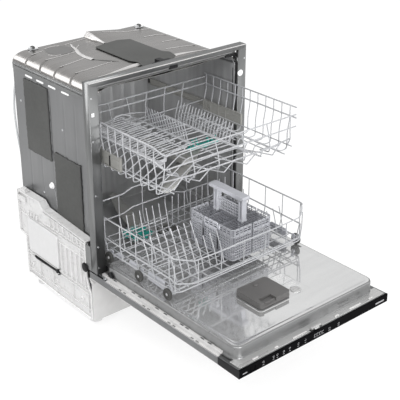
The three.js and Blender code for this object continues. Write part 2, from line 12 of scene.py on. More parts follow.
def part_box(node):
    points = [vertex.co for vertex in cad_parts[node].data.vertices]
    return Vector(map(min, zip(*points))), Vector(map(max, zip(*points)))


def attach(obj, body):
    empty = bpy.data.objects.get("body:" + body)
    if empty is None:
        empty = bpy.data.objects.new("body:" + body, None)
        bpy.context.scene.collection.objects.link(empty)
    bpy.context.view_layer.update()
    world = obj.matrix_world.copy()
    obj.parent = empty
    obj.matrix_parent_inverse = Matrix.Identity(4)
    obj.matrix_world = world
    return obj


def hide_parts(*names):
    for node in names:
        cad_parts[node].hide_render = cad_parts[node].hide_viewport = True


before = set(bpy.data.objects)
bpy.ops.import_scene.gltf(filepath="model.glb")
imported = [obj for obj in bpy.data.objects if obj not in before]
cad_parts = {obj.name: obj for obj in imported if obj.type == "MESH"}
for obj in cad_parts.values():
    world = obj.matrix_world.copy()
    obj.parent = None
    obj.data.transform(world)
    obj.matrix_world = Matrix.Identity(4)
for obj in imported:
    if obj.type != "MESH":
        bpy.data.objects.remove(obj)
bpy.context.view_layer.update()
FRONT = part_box("front_frame")[0].y * 1000
scene = bpy.context.scene


def at(x, y, z):
    return Vector((x, y + FRONT, z)) / 1000


# ---------------------------------------------------------------- camera and light
def camera():
    azimuth, elevation, roll = (math.radians(a) for a in (-40.85, 26.11, 0.29))
    back = Vector((math.sin(azimuth) * math.cos(elevation),
                   -math.cos(azimuth) * math.cos(elevation), math.sin(elevation)))
    right = (-back).cross(Vector((0, 0, 1))).normalized()
    up = back.cross(right)
    across = math.cos(roll) * right + math.sin(roll) * up
    upward = -math.sin(roll) * right + math.cos(roll) * up
    data = bpy.data.cameras.new("camera")
    data.sensor_width, data.lens = 36, 87.39
    data.shift_x, data.shift_y = -0.0062, 0.0073
    data.clip_start, data.clip_end = 0.1, 50
    cam = bpy.data.objects.new("camera", data)
    turn = Matrix((across, upward, back)).transposed().to_4x4()
    cam.matrix_world = Matrix.Translation(at(-1724.6, -2134.0, 1700.9)) @ turn
    scene.collection.objects.link(cam)
    scene.camera = cam


def area_light(name, place, target, size, power, colour=(1, 1, 1), mirrored=True):
    data = bpy.data.lights.new(name, "AREA")
    data.size, data.energy, data.color = size, power, colour
    lamp = bpy.data.objects.new(name, data)
    lamp.location = place
    lamp.rotation_mode = "QUATERNION"
    lamp.visible_camera = False
    lamp.visible_glossy = mirrored
    lamp.rotation_quaternion = (Vector(target) - Vector(place)).to_track_quat("-Z", "Y")
    scene.collection.objects.link(lamp)


def studio():
    world = bpy.data.worlds.new("studio")
    world.use_nodes = True
    nodes, links = world.node_tree.nodes, world.node_tree.links
    back = nodes["Background"]
    coord = nodes.new("ShaderNodeTexCoord")
    split = nodes.new("ShaderNodeSeparateXYZ")
    ramp = nodes.new("ShaderNodeValToRGB")
    ramp.color_ramp.elements[0].position, ramp.color_ramp.elements[0].color = 0.35, (0.50, 0.505, 0.51, 1)
    ramp.color_ramp.elements[1].position, ramp.color_ramp.elements[1].color = 0.75, (1, 1, 1, 1)
    shift = nodes.new("ShaderNodeMapRange")
    shift.inputs["From Min"].default_value, shift.inputs["From Max"].default_value = -1, 1
    links.new(coord.outputs["Generated"], split.inputs[0])
    links.new(split.outputs["Z"], shift.inputs["Value"])
    links.new(shift.outputs["Result"], ramp.inputs["Fac"])
    links.new(ramp.outputs["Color"], back.inputs["Color"])
    back.inputs["Strength"].default_value = 0.95
    scene.world = world
    area_light("key", (-2.6, -2.0, 3.2), (0, 0, 0.4), 2.4, 70)
    area_light("tub", (-0.5, -2.6, 1.1), (0.05, 0.2, 0.5), 1.2, 32)
    area_light("fill", (2.4, -2.4, 1.6), (0, -0.2, 0.3), 2.0, 22)
    area_light("inside", (0.0, FRONT / 1000 + 0.27, 0.74), (0.05, 0.5, 0.3), 0.16, 0.5, mirrored=False)
    area_light("inside_low", (-0.1, FRONT / 1000 - 0.2, 0.46), (0.05, 0.45, 0.40), 0.2, 0.28, mirrored=False)
    area_light("back", (-1.2, 2.6, 2.4), (0, 0.2, 0.6), 1.6, 34)
    scene.view_settings.view_transform = "Standard"


# ---------------------------------------------------------------- materials
def material(name, low, high, rough, metal=0.0, grain=6, bump=0.0, bump_grain=None,
             rough_spread=0.06, coat=0.0, alpha=1.0, glow=0.0, spec=0.5):
    """A procedural surface: colour drifts between two tones, roughness and bump have their own grain."""
    m = bpy.data.materials.new(name)
    m.use_nodes = True
    nodes, links = m.node_tree.nodes, m.node_tree.links
    shader = nodes["Principled BSDF"]
    coord = nodes.new("ShaderNodeTexCoord")

    def field(scale, size, detail, rough_detail=0.5):
        place = nodes.new("ShaderNodeMapping")
        place.inputs["Scale"].default_value = scale if isinstance(scale, tuple) else (scale,) * 3
        links.new(coord.outputs["Object"], place.inputs["Vector"])
        tex = nodes.new("ShaderNodeTexNoise")
        tex.inputs["Scale"].default_value = size
        tex.inputs["Detail"].default_value = detail
        tex.inputs["Roughness"].default_value = rough_detail
        links.new(place.outputs["Vector"], tex.inputs["Vector"])
        return tex.outputs["Fac"]

    drift = field(1, 5.0, 3)
    streak = field(grain, 10.0, 4, 0.6)
    mix = nodes.new("ShaderNodeMath")
    mix.operation = "ADD"
    links.new(drift, mix.inputs[0])
    links.new(streak, mix.inputs[1])
    ramp = nodes.new("ShaderNodeValToRGB")
    ramp.color_ramp.elements[0].position, ramp.color_ramp.elements[0].color = 0.35, (*low, 1)
    ramp.color_ramp.elements[1].position, ramp.color_ramp.elements[1].color = 0.65, (*high, 1)
    half = nodes.new("ShaderNodeMath")
    half.operation = "MULTIPLY"
    half.inputs[1].default_value = 0.5
    links.new(mix.outputs[0], half.inputs[0])
    links.new(half.outputs[0], ramp.inputs["Fac"])
    links.new(ramp.outputs["Color"], shader.inputs["Base Color"])
    spread = nodes.new("ShaderNodeMapRange")
    spread.inputs["From Min"].default_value, spread.inputs["From Max"].default_value = 0.3, 0.7
    spread.inputs["To Min"].default_value = max(0.02, rough - rough_spread)
    spread.inputs["To Max"].default_value = min(1.0, rough + rough_spread)
    links.new(streak, spread.inputs["Value"])
    links.new(spread.outputs["Result"], shader.inputs["Roughness"])
    shader.inputs["Metallic"].default_value = metal
    shader.inputs["Coat Weight"].default_value = coat
    shader.inputs["Alpha"].default_value = alpha
    shader.inputs["Specular IOR Level"].default_value = spec
    if glow:
        shader.inputs["Emission Color"].default_value = (*high, 1)
        shader.inputs["Emission Strength"].default_value = glow
    if bump:
        dent = nodes.new("ShaderNodeBump")
        dent.inputs["Strength"].default_value = bump
        dent.inputs["Distance"].default_value = 0.0008
        links.new(field(bump_grain or grain, 22.0, 3), dent.inputs["Height"])
        links.new(dent.outputs["Normal"], shader.inputs["Normal"])
    return m


STEEL = material("steel_outer", (0.175, 0.177, 0.180), (0.235, 0.237, 0.240), 0.38, 0.85, (3, 3, 0.25),
    0.10, (12, 12, 0.6))
STEEL_TOP = material("steel_top", (0.225, 0.218, 0.212), (0.31, 0.30, 0.292), 0.25, 0.95, (0.3, 4, 3),
    0.08, (0.6, 14, 10))
STEEL_IN = material("steel_inner", (0.27, 0.272, 0.275), (0.39, 0.392, 0.395), 0.36, 0.30, (5, 5, 0.3),
    0.15, (10, 10, 0.5))
STEEL_FRAME = material("steel_frame", (0.165, 0.168, 0.168), (0.225, 0.228, 0.228), 0.33, 0.85,
    (4, 4, 0.4), 0.08, (14, 14, 0.8))
STEEL_BRIGHT = material("steel_bright", (0.50, 0.51, 0.52), (0.62, 0.63, 0.64), 0.24, 0.95, (5, 0.5, 5), 0.06)
# Painted shade: a darker copy of the roof steel for the oval dish.
DISH_SHADE = material("roof_dish_shade", (0.175, 0.172, 0.17), (0.225, 0.22, 0.217), 0.34, 0.9, 4, 0.03)
PAD = material("bitumen_mat", (0.060, 0.061, 0.059), (0.088, 0.089, 0.086), 0.85, 0, 9, 0.5, 16)
TRAY = material("milky_plastic", (0.67, 0.667, 0.665), (0.79, 0.787, 0.785), 0.30, 0, 5, 0.08, 14,
    coat=0.25, alpha=0.80)
TRAY_SHEET = material("milky_sheet", (0.60, 0.598, 0.60), (0.65, 0.648, 0.65), 0.5, 0, 5, 0.03)
PLINTH = material("plinth_grey", (0.50, 0.497, 0.493), (0.57, 0.567, 0.563), 0.55, 0, 3, 0.05, 20)
# Black mouldings; the same black also paints the shade in the spray arm jets and in a slot of the height
# adjuster.
BLACK = material("black_moulding_and_hole_shade", (0.008, 0.008, 0.009), (0.016, 0.016, 0.017), 0.42, 0, 8, 0.12, 30,
    spec=0.12)
SEAL_GREY = material("seal_grey", (0.11, 0.112, 0.11), (0.15, 0.152, 0.15), 0.55, 0, 8, 0.12, 30)
# Painted shade: a black for the shaded right leg and corner of the door gasket and for the cutlery basket's
# slots.
BLACK_SHADE = material("seal_rubber", (0.006, 0.006, 0.007), (0.014, 0.014, 0.015), 0.6, 0, 8, 0.15, 30, spec=0.25)
# Painted light and shade on the door liner, which is one sheet: a light glossy steel on its top for the sky it
# reflects, a dark steel on its upright walls.
LINER = material("liner_steel_painted_sheen", (0.62, 0.622, 0.622), (0.68, 0.682, 0.682), 0.07, 0.78, (0.4, 3, 3), 0.015,
    (0.8, 12, 12), rough_spread=0.02)
LINER_WALL_SHADE = material("liner_wall_painted_shade", (0.20, 0.202, 0.203), (0.26, 0.262, 0.263), 0.32, 0.85, (0.4, 4, 4),
    0.04, (0.8, 12, 12))
DECK = material("deck_steel", (0.46, 0.46, 0.457), (0.56, 0.56, 0.557), 0.28, 0.7, (0.4, 4, 4), 0.04,
    (0.8, 12, 12))
# Painted highlight: a light steel for the bright lines where the roof's folds and the frame's top edge catch
# the light.
CREASE_HIGHLIGHT = material("crease_painted_highlight", (0.50, 0.49, 0.485), (0.62, 0.61, 0.605), 0.36, 0.3, 5, 0.05)
DOOR_EDGE = material("door_edge", (0.50, 0.495, 0.49), (0.60, 0.595, 0.59), 0.35, 0.1, 4, 0.03)
DOOR_SIDE = material("door_side", (0.145, 0.148, 0.15), (0.19, 0.193, 0.196), 0.34, 0.9, (0.4, 4, 4), 0.05)
GLOSS = material("piano_black", (0.002, 0.002, 0.0025), (0.004, 0.004, 0.0045), 0.14, 0, 3, 0.0,
    rough_spread=0.03, spec=0.012)
MARK = material("white_mark", (0.26, 0.26, 0.27), (0.34, 0.34, 0.35), 0.5, 0, 9, 0.02)
WIRE = material("coated_wire", (0.335, 0.34, 0.355), (0.415, 0.42, 0.435), 0.36, 0.0, 6, 0.06, 40, coat=0.15)
LILAC = material("lilac_moulding", (0.36, 0.365, 0.395), (0.45, 0.455, 0.485), 0.45, 0, 6, 0.08, 30)
# Painted shade: the spray arm moulding is darkened for the shade it lies in under the baskets; the dispenser
# well, feed pipes and filter share this darker colour.
ARM = material("arm_moulding_darkened_for_shade", (0.185, 0.184, 0.177), (0.235, 0.233, 0.223), 0.42, 0, 6, 0.06, 30)
BEIGE = material("beige_moulding", (0.225, 0.223, 0.21), (0.28, 0.278, 0.262), 0.45, 0, 6, 0.06, 30)
# Painted shade: a darker copy of the lilac for the cutlery basket's inside.
LILAC_SHADE = material("lilac_painted_shade", (0.15, 0.153, 0.168), (0.20, 0.203, 0.222), 0.5, 0, 6, 0.08, 30)
TEAL = material("teal_moulding", (0.010, 0.245, 0.205), (0.020, 0.335, 0.285), 0.4, 0, 7, 0.06, 30)
WHEEL = material("wheel_moulding", (0.026, 0.026, 0.024), (0.045, 0.045, 0.042), 0.5, 0, 8, 0.1, 30)
HUB = material("hub_moulding", (0.30, 0.30, 0.31), (0.40, 0.40, 0.41), 0.45, 0, 8, 0.05)
LID = material("lid_moulding", (0.070, 0.068, 0.067), (0.098, 0.095, 0.093), 0.45, 0, 7, 0.12, 34)
WHITE = material("white_clip", (0.80, 0.80, 0.80), (0.90, 0.90, 0.90), 0.4, 0, 7, 0.03)
HOSE = material("hose_plastic", (0.52, 0.53, 0.54), (0.62, 0.63, 0.64), 0.45, 0, 7, 0.1, 30)
PUMP = material("pump_casting", (0.16, 0.165, 0.17), (0.23, 0.235, 0.24), 0.5, 0.6, 8, 0.2, 26)


# ---------------------------------------------------------------- mesh building
BOX_FACES = [(0, 1, 3, 2), (4, 6, 7, 5), (0, 4, 5, 1), (2, 3, 7, 6), (0, 2, 6, 4), (1, 5, 7, 3)]


def box(x0, x1, y0, y1, z0, z1):
    corners = [(x, y, z) for x in sorted((x0, x1)) for y in sorted((y0, y1)) for z in sorted((z0, z1))]
    return corners, BOX_FACES


def rounded(points, radius, steps=3, closed=False):
    """The same path with each corner turned into an arc."""
    pts = [Vector(p) for p in points]
    out = []
    for i, p in enumerate(pts):
        if not closed and i in (0, len(pts) - 1):
            out.append(p)
            continue
        a, b = pts[i - 1] - p, pts[(i + 1) % len(pts)] - p
        r = min(radius, a.length * 0.49, b.length * 0.49)
        s, e = p + a.normalized() * r, p + b.normalized() * r
        if a.normalized().dot(b.normalized()) < -0.999:
            out.append(p)
            continue
        for k in range(steps + 1):
            t = k / steps
            out.append(s.lerp(p, t).lerp(p.lerp(e, t), t))
    return out


def tube(path, r, sides=6, closed=False, taper=None):
    """A round wire along a path of points."""
    pts = [Vector(p) for p in path]
    n = len(pts)
    verts, faces = [], []
    tangent = (pts[1] - pts[0]).normalized()
    normal = tangent.orthogonal().normalized()
    for i, p in enumerate(pts):
        if closed:
            t = (pts[(i + 1) % n] - pts[i - 1]).normalized()
        else:
            t = (pts[min(i + 1, n - 1)] - pts[max(i - 1, 0)]).normalized()
        normal = (normal - t * normal.dot(t)).normalized()
        other = t.cross(normal)
        radius = r if taper is None else r * taper(i / (n - 1))
        for k in range(sides):
            a = 2 * math.pi * k / sides
            verts.append(p + (normal * math.cos(a) + other * math.sin(a)) * radius)
    for i in range(n if closed else n - 1):
        for k in range(sides):
            a, b = i * sides + k, i * sides + (k + 1) % sides
            c, d = ((i + 1) % n) * sides + (k + 1) % sides, ((i + 1) % n) * sides + k
            faces.append((a, b, c, d))
    if not closed:
        faces.append(tuple(reversed(range(sides))))
        faces.append(tuple(range((n - 1) * sides, n * sides)))
    return verts, faces


def surface(fn, us, vs):
    """A sheet of quads over a grid of (u, v)."""
    verts = [Vector(fn(u, v)) for u in us for v in vs]
    k = len(vs)
    faces = [(i * k + j, (i + 1) * k + j, (i + 1) * k + j + 1, i * k + j + 1)
             for i in range(len(us) - 1) for j in range(k - 1)]
    return verts, faces


def prism(outline, axis, a, b):
    """A straight bar of the given outline: (y, z) along x, (x, z) along y, (x, y) along z."""
    put = {"x": lambda u, v, w: (w, u, v),
           "y": lambda u, v, w: (u, w, v),
           "z": lambda u, v, w: (u, v, w)}[axis]
    n = len(outline)
    verts = [put(u, v, a) for u, v in outline] + [put(u, v, b) for u, v in outline]
    faces = [tuple(range(n)), tuple(reversed(range(n, 2 * n)))]
    faces += [(i, i + n, (i + 1) % n + n, (i + 1) % n) for i in range(n)]
    return verts, faces


def lathe(profile, centre, axis="z", sides=24, sweep=2 * math.pi):
    """A body of revolution about an axis through centre, from (radius, height) points."""
    put = {"x": lambda r, a, h: (h, r * math.cos(a), r * math.sin(a)),
           "y": lambda r, a, h: (r * math.cos(a), h, r * math.sin(a)),
           "z": lambda r, a, h: (r * math.cos(a), r * math.sin(a), h)}[axis]
    c = Vector(centre)
    n = len(profile)
    verts = [Vector(put(r, sweep * k / sides, h)) + c for k in range(sides) for r, h in profile]
    faces = []
    for k in range(sides):
        for i in range(n - 1):
            a, b = k * n + i, ((k + 1) % sides) * n + i
            faces.append((a, b, b + 1, a + 1))
    return verts, faces


def turns(n):
    """Angles of n equal steps round a circle."""
    return spread(0, 2 * math.pi, n + 1)[:-1]


def round_rect(x0, x1, y0, y1, r, steps=6):
    out = []
    for cx, cy, start in ((x1 - r, y1 - r, 0), (x0 + r, y1 - r, 90), (x0 + r, y0 + r, 180),
            (x1 - r, y0 + r, 270)):
        for k in range(steps + 1):
            a = math.radians(start + 90 * k / steps)
            out.append((cx + r * math.cos(a), cy + r * math.sin(a)))
    return out


def rings(loops, close_first=True, close_last=True):
    """Skins between loops of equal length, with the end loops filled."""
    n = len(loops[0])
    verts = [Vector(p) for loop in loops for p in loop]
    faces = []
    for k in range(len(loops) - 1):
        for i in range(n):
            a, b = k * n + i, k * n + (i + 1) % n
            faces.append((a, b, b + n, a + n))
    if close_first:
        faces.append(tuple(reversed(range(n))))
    if close_last:
        faces.append(tuple(range((len(loops) - 1) * n, len(loops) * n)))
    return verts, faces


def turned(part, turn, about):
    verts, faces = part
    c = Vector(about)
    return [turn @ (Vector(v) - c) + c for v in verts], faces


def piece(name, body, parts, mats, nodes=(), bevel=0, solid=0, offset=0.0, angle=35):
    """One object from several parts; a part may be (verts, faces) or (verts, faces, material index)."""
    mats = mats if isinstance(mats, (list, tuple)) else [mats]
    verts, faces, which = [], [], []
    for part in parts:
        start = len(verts)
        verts += [at(*v) for v in part[0]]
        faces += [tuple(i + start for i in f) for f in part[1]]
        which += [part[2] if len(part) > 2 else 0] * len(part[1])
    mesh = bpy.data.meshes.new(name)
    mesh.from_pydata(verts, [], faces)
    mesh.validate()
    for m in mats:
        mesh.materials.append(m)
    if len(mesh.polygons) == len(which):
        mesh.polygons.foreach_set("material_index", which)
    obj = bpy.data.objects.new(name, mesh)
    scene.collection.objects.link(obj)
    face_outwards(mesh)
    mesh.polygons.foreach_set("use_smooth", [True] * len(mesh.polygons))
    mesh.set_sharp_from_angle(angle=math.radians(angle))
    if solid:
        mod = obj.modifiers.new("thickness", "SOLIDIFY")
        mod.thickness, mod.offset, mod.use_even_offset = solid / 1000, offset, True
    if bevel:
        mod = obj.modifiers.new("edges", "BEVEL")
        mod.width, mod.segments, mod.limit_method = bevel / 1000, 2, "ANGLE"
        mod.angle_limit, mod.harden_normals = math.radians(40), False
    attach(obj, body)
    if nodes:
        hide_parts(*nodes)


def face_outwards(mesh):
    bm = bmesh.new()
    bm.from_mesh(mesh)
    bmesh.ops.recalc_face_normals(bm, faces=bm.faces)
    bm.to_mesh(mesh)
    bm.free()


def mirror(part):
    """The part on the other side of x = 0."""
    return ([(-v[0], v[1], v[2]) for v in part[0]], *part[1:])


def spread(a, b, n):
    """n evenly spaced values from a to b."""
    return [a + (b - a) * i / (n - 1) for i in range(n)]


def smooth(a, b, t):
    """An eased step from 0 at a to 1 at b."""
    t = min(1.0, max(0.0, (t - a) / (b - a)))
    return t * t * (3 - 2 * t)


camera()
studio()


def pale_floor():
    """A wide floor just under the feet, in metres."""
    mesh = bpy.data.meshes.new("floor")
    corners = ((-12, -12), (12, -12), (12, 12), (-12, 12))
    mesh.from_pydata([(x, y, -0.0005) for x, y in corners], [], [(0, 1, 2, 3)])
    mesh.materials.append(material("pale_floor", (0.28, 0.28, 0.28), (0.30, 0.30, 0.30), 0.9, 0, 2, 0,
        glow=2.4, spec=0.1))
    floor = bpy.data.objects.new("floor", mesh)
    scene.collection.objects.link(floor)


pale_floor()

# ---------------------------------------------------------------- tub
HALF_WIDTH, HEIGHT = 299, 815          # outer faces of the front frame
TUB, TOP_Z, BACK, SHOULDER = 266, 787, 464, 27
GROOVES = (70, 128, 186, 262, 330, 398)


def groove(t, half):
    """A rounded channel: 1 in the middle, 0 from a distance of half outwards."""
    return math.cos(min(1.0, abs(t) / half) * math.pi / 2) ** 2 if abs(t) < half else 0.0


def wall_depth(y, z, pressed):
    """How far a side wall dips inwards: upright pressed channels and a fold near the top."""
    fade = smooth(185, 215, z) * (1 - smooth(690, 715, z))
    d = pressed * max(groove(y - g, 5) for g in GROOVES) * fade
    d += 1.2 * groove(z - 747, 5)
    return d + pressed * groove(math.hypot(y - 206, z - 402) - 22, 5) * (1 - fade * 0.5)


def tub_wall(side, inset=0.4, pressed=1.3):
    """A side wall, open at its lower front corner."""
    ys = [14 + i * 3.0 for i in range(150)] + [BACK]
    zs = spread(150, TOP_Z - SHOULDER - 2, 62)
    part = surface(lambda y, z: (side * (TUB - inset - wall_depth(y, z, pressed)), y, z), ys, zs)
    keep = [f for f in part[1] if not all(part[0][i][1] < 58 and part[0][i][2] < 210 for i in f)]
    return part[0], keep


for side, word in ((-1, "left"), (1, "right")):
    piece(f"tub_side_{word}", "cabinet", [tub_wall(side)], STEEL, [f"tub_wall_{word}"], solid=1.0)
    lining = tub_wall(side, 1.4, 0.6)
    piece(f"tub_lining_{word}", "cabinet", [lining], STEEL_IN, solid=0.3)
    hem = prism([(side * (TUB - 2.2), 753), (side * (TUB + 2.4), 753), (side * (TUB + 2.4), 757.5),
        (side * (TUB + 0.6), 758.5), (side * (TUB + 0.6), 762), (side * (TUB - 2.2), 762)], "y", 22, BACK)
    lip = prism([(side * (TUB - 0.3), 739), (side * (TUB + 1.5), 739), (side * (TUB + 1.8), 751),
        (side * (TUB - 0.3), 751)], "y", 20, BACK)
    piece(f"tub_seam_{word}", "cabinet", [hem, lip], STEEL_FRAME, bevel=0.5)
    slots = []
    for y in (372, 308, 242, 171):
        oval = [(y + end * (17 + 3 * math.cos(a)), 734 + end * 3 * math.sin(a))
                for end in (-1, 1) for a in spread(-math.pi / 2, math.pi / 2, 5)]
        slots.append(prism(oval, "x", side * (TUB - 0.2), side * (TUB + 1.3)))
    piece(f"side_slots_{word}", "cabinet", slots, WHITE)

# Shoulders and top of the tub, one pressed sheet: bands across it and a raised panel. The oval dish on it is
# painted shade, a flat darker patch.
WIDE = 50                              # how far in from the side the shoulder starts
ARC = 62                               # width of the sheet that goes into one shoulder
CORNER = TUB - WIDE
HALF_SPAN = CORNER + ARC

# Where the pressed seams cross the shoulder, and how far each leans back on its way over it.
SHOULDER_CUTS = {-1: ((388, 19), (302, 33), (228, 22), (138, 35)),
    1: ((402, 0), (314, 0), (245, 0), (160, 0))}
RIDGE_X = 15                           # left edge of the raised rear panel


def front_fold(x):
    """Distance y of the fold that crosses the roof near the front: further back in the middle."""
    return 104 + 27 * smooth(210, 20, abs(x)) if x < 40 else 104 + 26 * smooth(250, 110, abs(x))


def top_lift(s, y):
    """Height of the pressed roof over its flat level, s measured round the shoulder."""
    over = max(0.0, abs(s) - CORNER) / ARC
    lift = 0.0
    if over > 0:
        for b, lean in SHOULDER_CUTS[-1 if s < 0 else 1]:
            lift -= 3.4 * groove(y - b - lean * (1 - over), 4.2)
    tall = 2.5 * smooth(325, 360, y) + 14.5 * smooth(355, 464, y)
    lift += tall * smooth(RIDGE_X - 12, RIDGE_X, s) * max(0.0, 1 - max(0.0, s - RIDGE_X) / 130)
    lift -= 5.0 * smooth(220, 60, abs(s)) * (1 - smooth(front_fold(s) - 13, front_fold(s), y))
    return lift + 1.6 * groove(y - 26, 8)


def top_point(s, y):
    """Where a point of the flat sheet lies once the shoulders are bent down."""
    lift = top_lift(s, y)
    side = 1 if s > 0 else -1
    if abs(s) <= CORNER:
        return s, y, TOP_Z + lift
    a = min(1.0, (abs(s) - CORNER) / ARC) * math.pi / 2
    out, up = (WIDE + lift) * math.sin(a), (SHOULDER + lift) * math.cos(a)
    return side * (CORNER + out), y, TOP_Z - SHOULDER + up


ss = spread(-HALF_SPAN, -CORNER, 24) + spread(-CORNER, CORNER, 150)[1:-1] + spread(CORNER, HALF_SPAN, 15)
piece("tub_roof", "cabinet", [surface(top_point, ss, spread(14, BACK, 220))], STEEL_TOP, ["tub_top"],
    solid=1.2, offset=-1)


def roof_z(x, y):
    """Height of the roof's outer face over a point, without the shoulder cuts."""
    past = max(0.0, abs(x) - CORNER) / WIDE
    flat = top_lift(x, y) if past == 0 else 0
    return TOP_Z - SHOULDER * (1 - math.sqrt(max(0.0, 1 - past * past))) + flat


def fold_line(points, width, height=0.9, base=0.5):
    """A low two-sided ridge lying on the roof; its width runs from width[0] to width[1]."""
    pts = [Vector((x, y, 0)) for x, y in points]
    fine = []
    for a, b in zip(pts, pts[1:]):
        n = max(1, round((b - a).length / 6))
        fine += [a.lerp(b, k / n) for k in range(n)]
    fine.append(pts[-1])
    verts, faces = [], []
    last = len(fine) - 1
    for k, p in enumerate(fine):
        along = (fine[min(k + 1, last)] - fine[max(k - 1, 0)]).normalized()
        out = Vector((-along.y, along.x, 0)) * 0.5 * (width[0] + (width[1] - width[0]) * k / last)
        for u, up in ((-1, 0), (0, height), (1, 0)):
            q = p + out * u
            verts.append((q.x, q.y, roof_z(q.x, q.y) + base + up))
    for k in range(last):
        faces += [(3 * k + i, 3 * k + i + 1, 3 * k + i + 4, 3 * k + i + 3) for i in (0, 1)]
    return verts, faces


def bent(points, r=30):
    """A flat path with its corners rounded."""
    return [(v.x, v.y) for v in rounded([(x, y, 0) for x, y in points], r, 8)]


# Painted highlights: the roof's pressed folds are drawn as low strips of a light steel, for the light they
# catch.
seams = [fold_line(p, (3.0, 3.0)) for p in ([(-232, 407), (-181, 419)],
    [(-226, 335), (-171, 337), (-108, 346)], [(-229, 250), (-169, 263), (-118, 276)],
    [(-226, 173), (-153, 181), (-80, 192)], [(-95, 430), (2, 447)], [(64, 445), (143, 424), (226, 402)],
    [(156, 338), (200, 331), (238, 314)], [(166, 256), (205, 252), (240, 245)],
    [(128, 188), (184, 176), (232, 160)])]
seams.append(fold_line(bent([(-76, 420), (-86, 395), (-92, 365), (-109, 331), (-116, 283), (-110, 248)]),
    (6.0, 18), 2.2))
seams.append(fold_line([(-91, 371), (-62, 396)], (4.0, 2.5), 1.2))
seams.append(fold_line([(RIDGE_X - 3, 358), (RIDGE_X - 3, BACK - 1)], (8.0, 10.0), 1.0, 1.0))
seams.append(fold_line(bent([(-192, 372), (-181, 352), (-160, 350)], 12), (2.5, 2.5)))
seams.append(fold_line(bent([(-168, 432), (-140, 442), (-112, 432)], 20), (3.0, 3.0)))
seams.append(fold_line([(x, front_fold(x) - 5) for x in spread(-196, -24, 14)], (1.5, 13), 1.2))
seams.append(fold_line([(x, front_fold(x) - 5) for x in spread(112, 240, 12)], (12, 2.0), 1.2))
piece("roof_seam_highlights", "cabinet", seams, CREASE_HIGHLIGHT)
shade_lines = [fold_line([(-113, 247), (-91, 217), (-78, 200)], (2.0, 5.0), 0.2, 0.9),
    fold_line([(-78, 200), (-62, 178)], (5.0, 1.0), 0.2, 0.9),
    fold_line([(-138 + 42 * math.cos(a), 394 + 46 * math.sin(a)) for a in spread(-2.0, -1.0, 6)],
    (2.5, 2.5), 0.2)]
piece("roof_shade_lines", "cabinet", shade_lines, PAD)
# Painted shade: the oval dish is a flat patch of darker steel laid on the roof, not a pressed hollow.
dish_rim = [(-138 + 43 * math.cos(a), 394 + 47 * math.sin(a)) for a in turns(32)]
piece("roof_dish_shade", "cabinet", [prism(dish_rim, "z", TOP_Z - 0.2, TOP_Z + 0.35)], DISH_SHADE)


def lining_point(s, y):
    x, y, z = top_point(s, y)
    return x * 0.994, y, z - 2.0


roof_lining = surface(lining_point, ss[::3] + [ss[-1]], spread(18, BACK - 2, 40))
piece("tub_roof_lining", "cabinet", [roof_lining], STEEL_IN, solid=0.3)
fixings = []
for x, y in ((-196, 452), (214, 440)):
    fixings += [(*box(x - 15, x + 15, y - 8, y + 8, TOP_Z + 0.5, TOP_Z + 3), 0),
             (*box(x - 15, x - 6, y - 7, y + 7, TOP_Z + 2, TOP_Z + 9), 0),
             (*box(x - 6, x + 3, y - 6, y + 7, TOP_Z + 2, TOP_Z + 11), 2),
             (*box(x + 3, x + 14, y - 7, y + 7, TOP_Z + 2, TOP_Z + 10), 1)]
piece("roof_brackets", "cabinet", fixings, [STEEL_BRIGHT, WHITE, PAD], bevel=1.6)


def back_depth(x, z):
    """The back wall: upright channels inside a rounded pressed field."""
    field = max(abs(x) / 206, abs(z - 465) / 250)
    inside = 1 - smooth(0.92, 1.0, field)
    d = 3.2 * inside
    d -= 2.4 * inside * max(groove(x - g, 10) for g in (-160, -112, -64, 64, 112, 160))
    d += 1.4 * groove(math.hypot(x, (z - 524)) - 46, 9)
    return d


def inside_roof(x, z):
    """Whether a point of the back wall lies below the roof and its shoulders."""
    if abs(x) <= CORNER or z <= TOP_Z - SHOULDER:
        return True
    return ((abs(x) - CORNER) / WIDE) ** 2 + ((z - TOP_Z + SHOULDER) / SHOULDER) ** 2 <= 1


rear, quads = surface(lambda x, z: (x, BACK + 0.8 + back_depth(x, z), z),
                      spread(-TUB + 0.6, TUB - 0.6, 130), spread(152, TOP_Z - 1, 90))
quads = [f for f in quads if all(inside_roof(rear[i][0], rear[i][2]) for i in f)]
piece("tub_rear", "cabinet", [(rear, quads)], STEEL_IN, ["tub_back"], solid=0.9)
clips = [box(-259, -245, BACK + 1, BACK + 9, z - 7, z + 7) for z in (700, 408)]
piece("hose_clips", "cabinet", clips, BLACK, bevel=1.2)


# ---------------------------------------------------------------- front frame
def arc_points(cx, cy, r, a0, a1):
    angles = [math.radians(a) for a in spread(a0, a1, 5)]
    return [(cx + r * math.cos(a), cy + r * math.sin(a)) for a in angles]


def folded_sheet(start, end):
    """A bent sheet between two rows of points."""
    n = len(start)
    return start + end, [(k, k + 1, n + k + 1, n + k) for k in range(n - 1)]


def frame_leg(side, profile, foot, head):
    """An upright strip from a profile of (inset, y); head gives its top for each inset."""
    return folded_sheet([(side * (HALF_WIDTH - d), y, foot) for d, y in profile],
                        [(side * (HALF_WIDTH - d), y, head(d)) for d, y in profile])


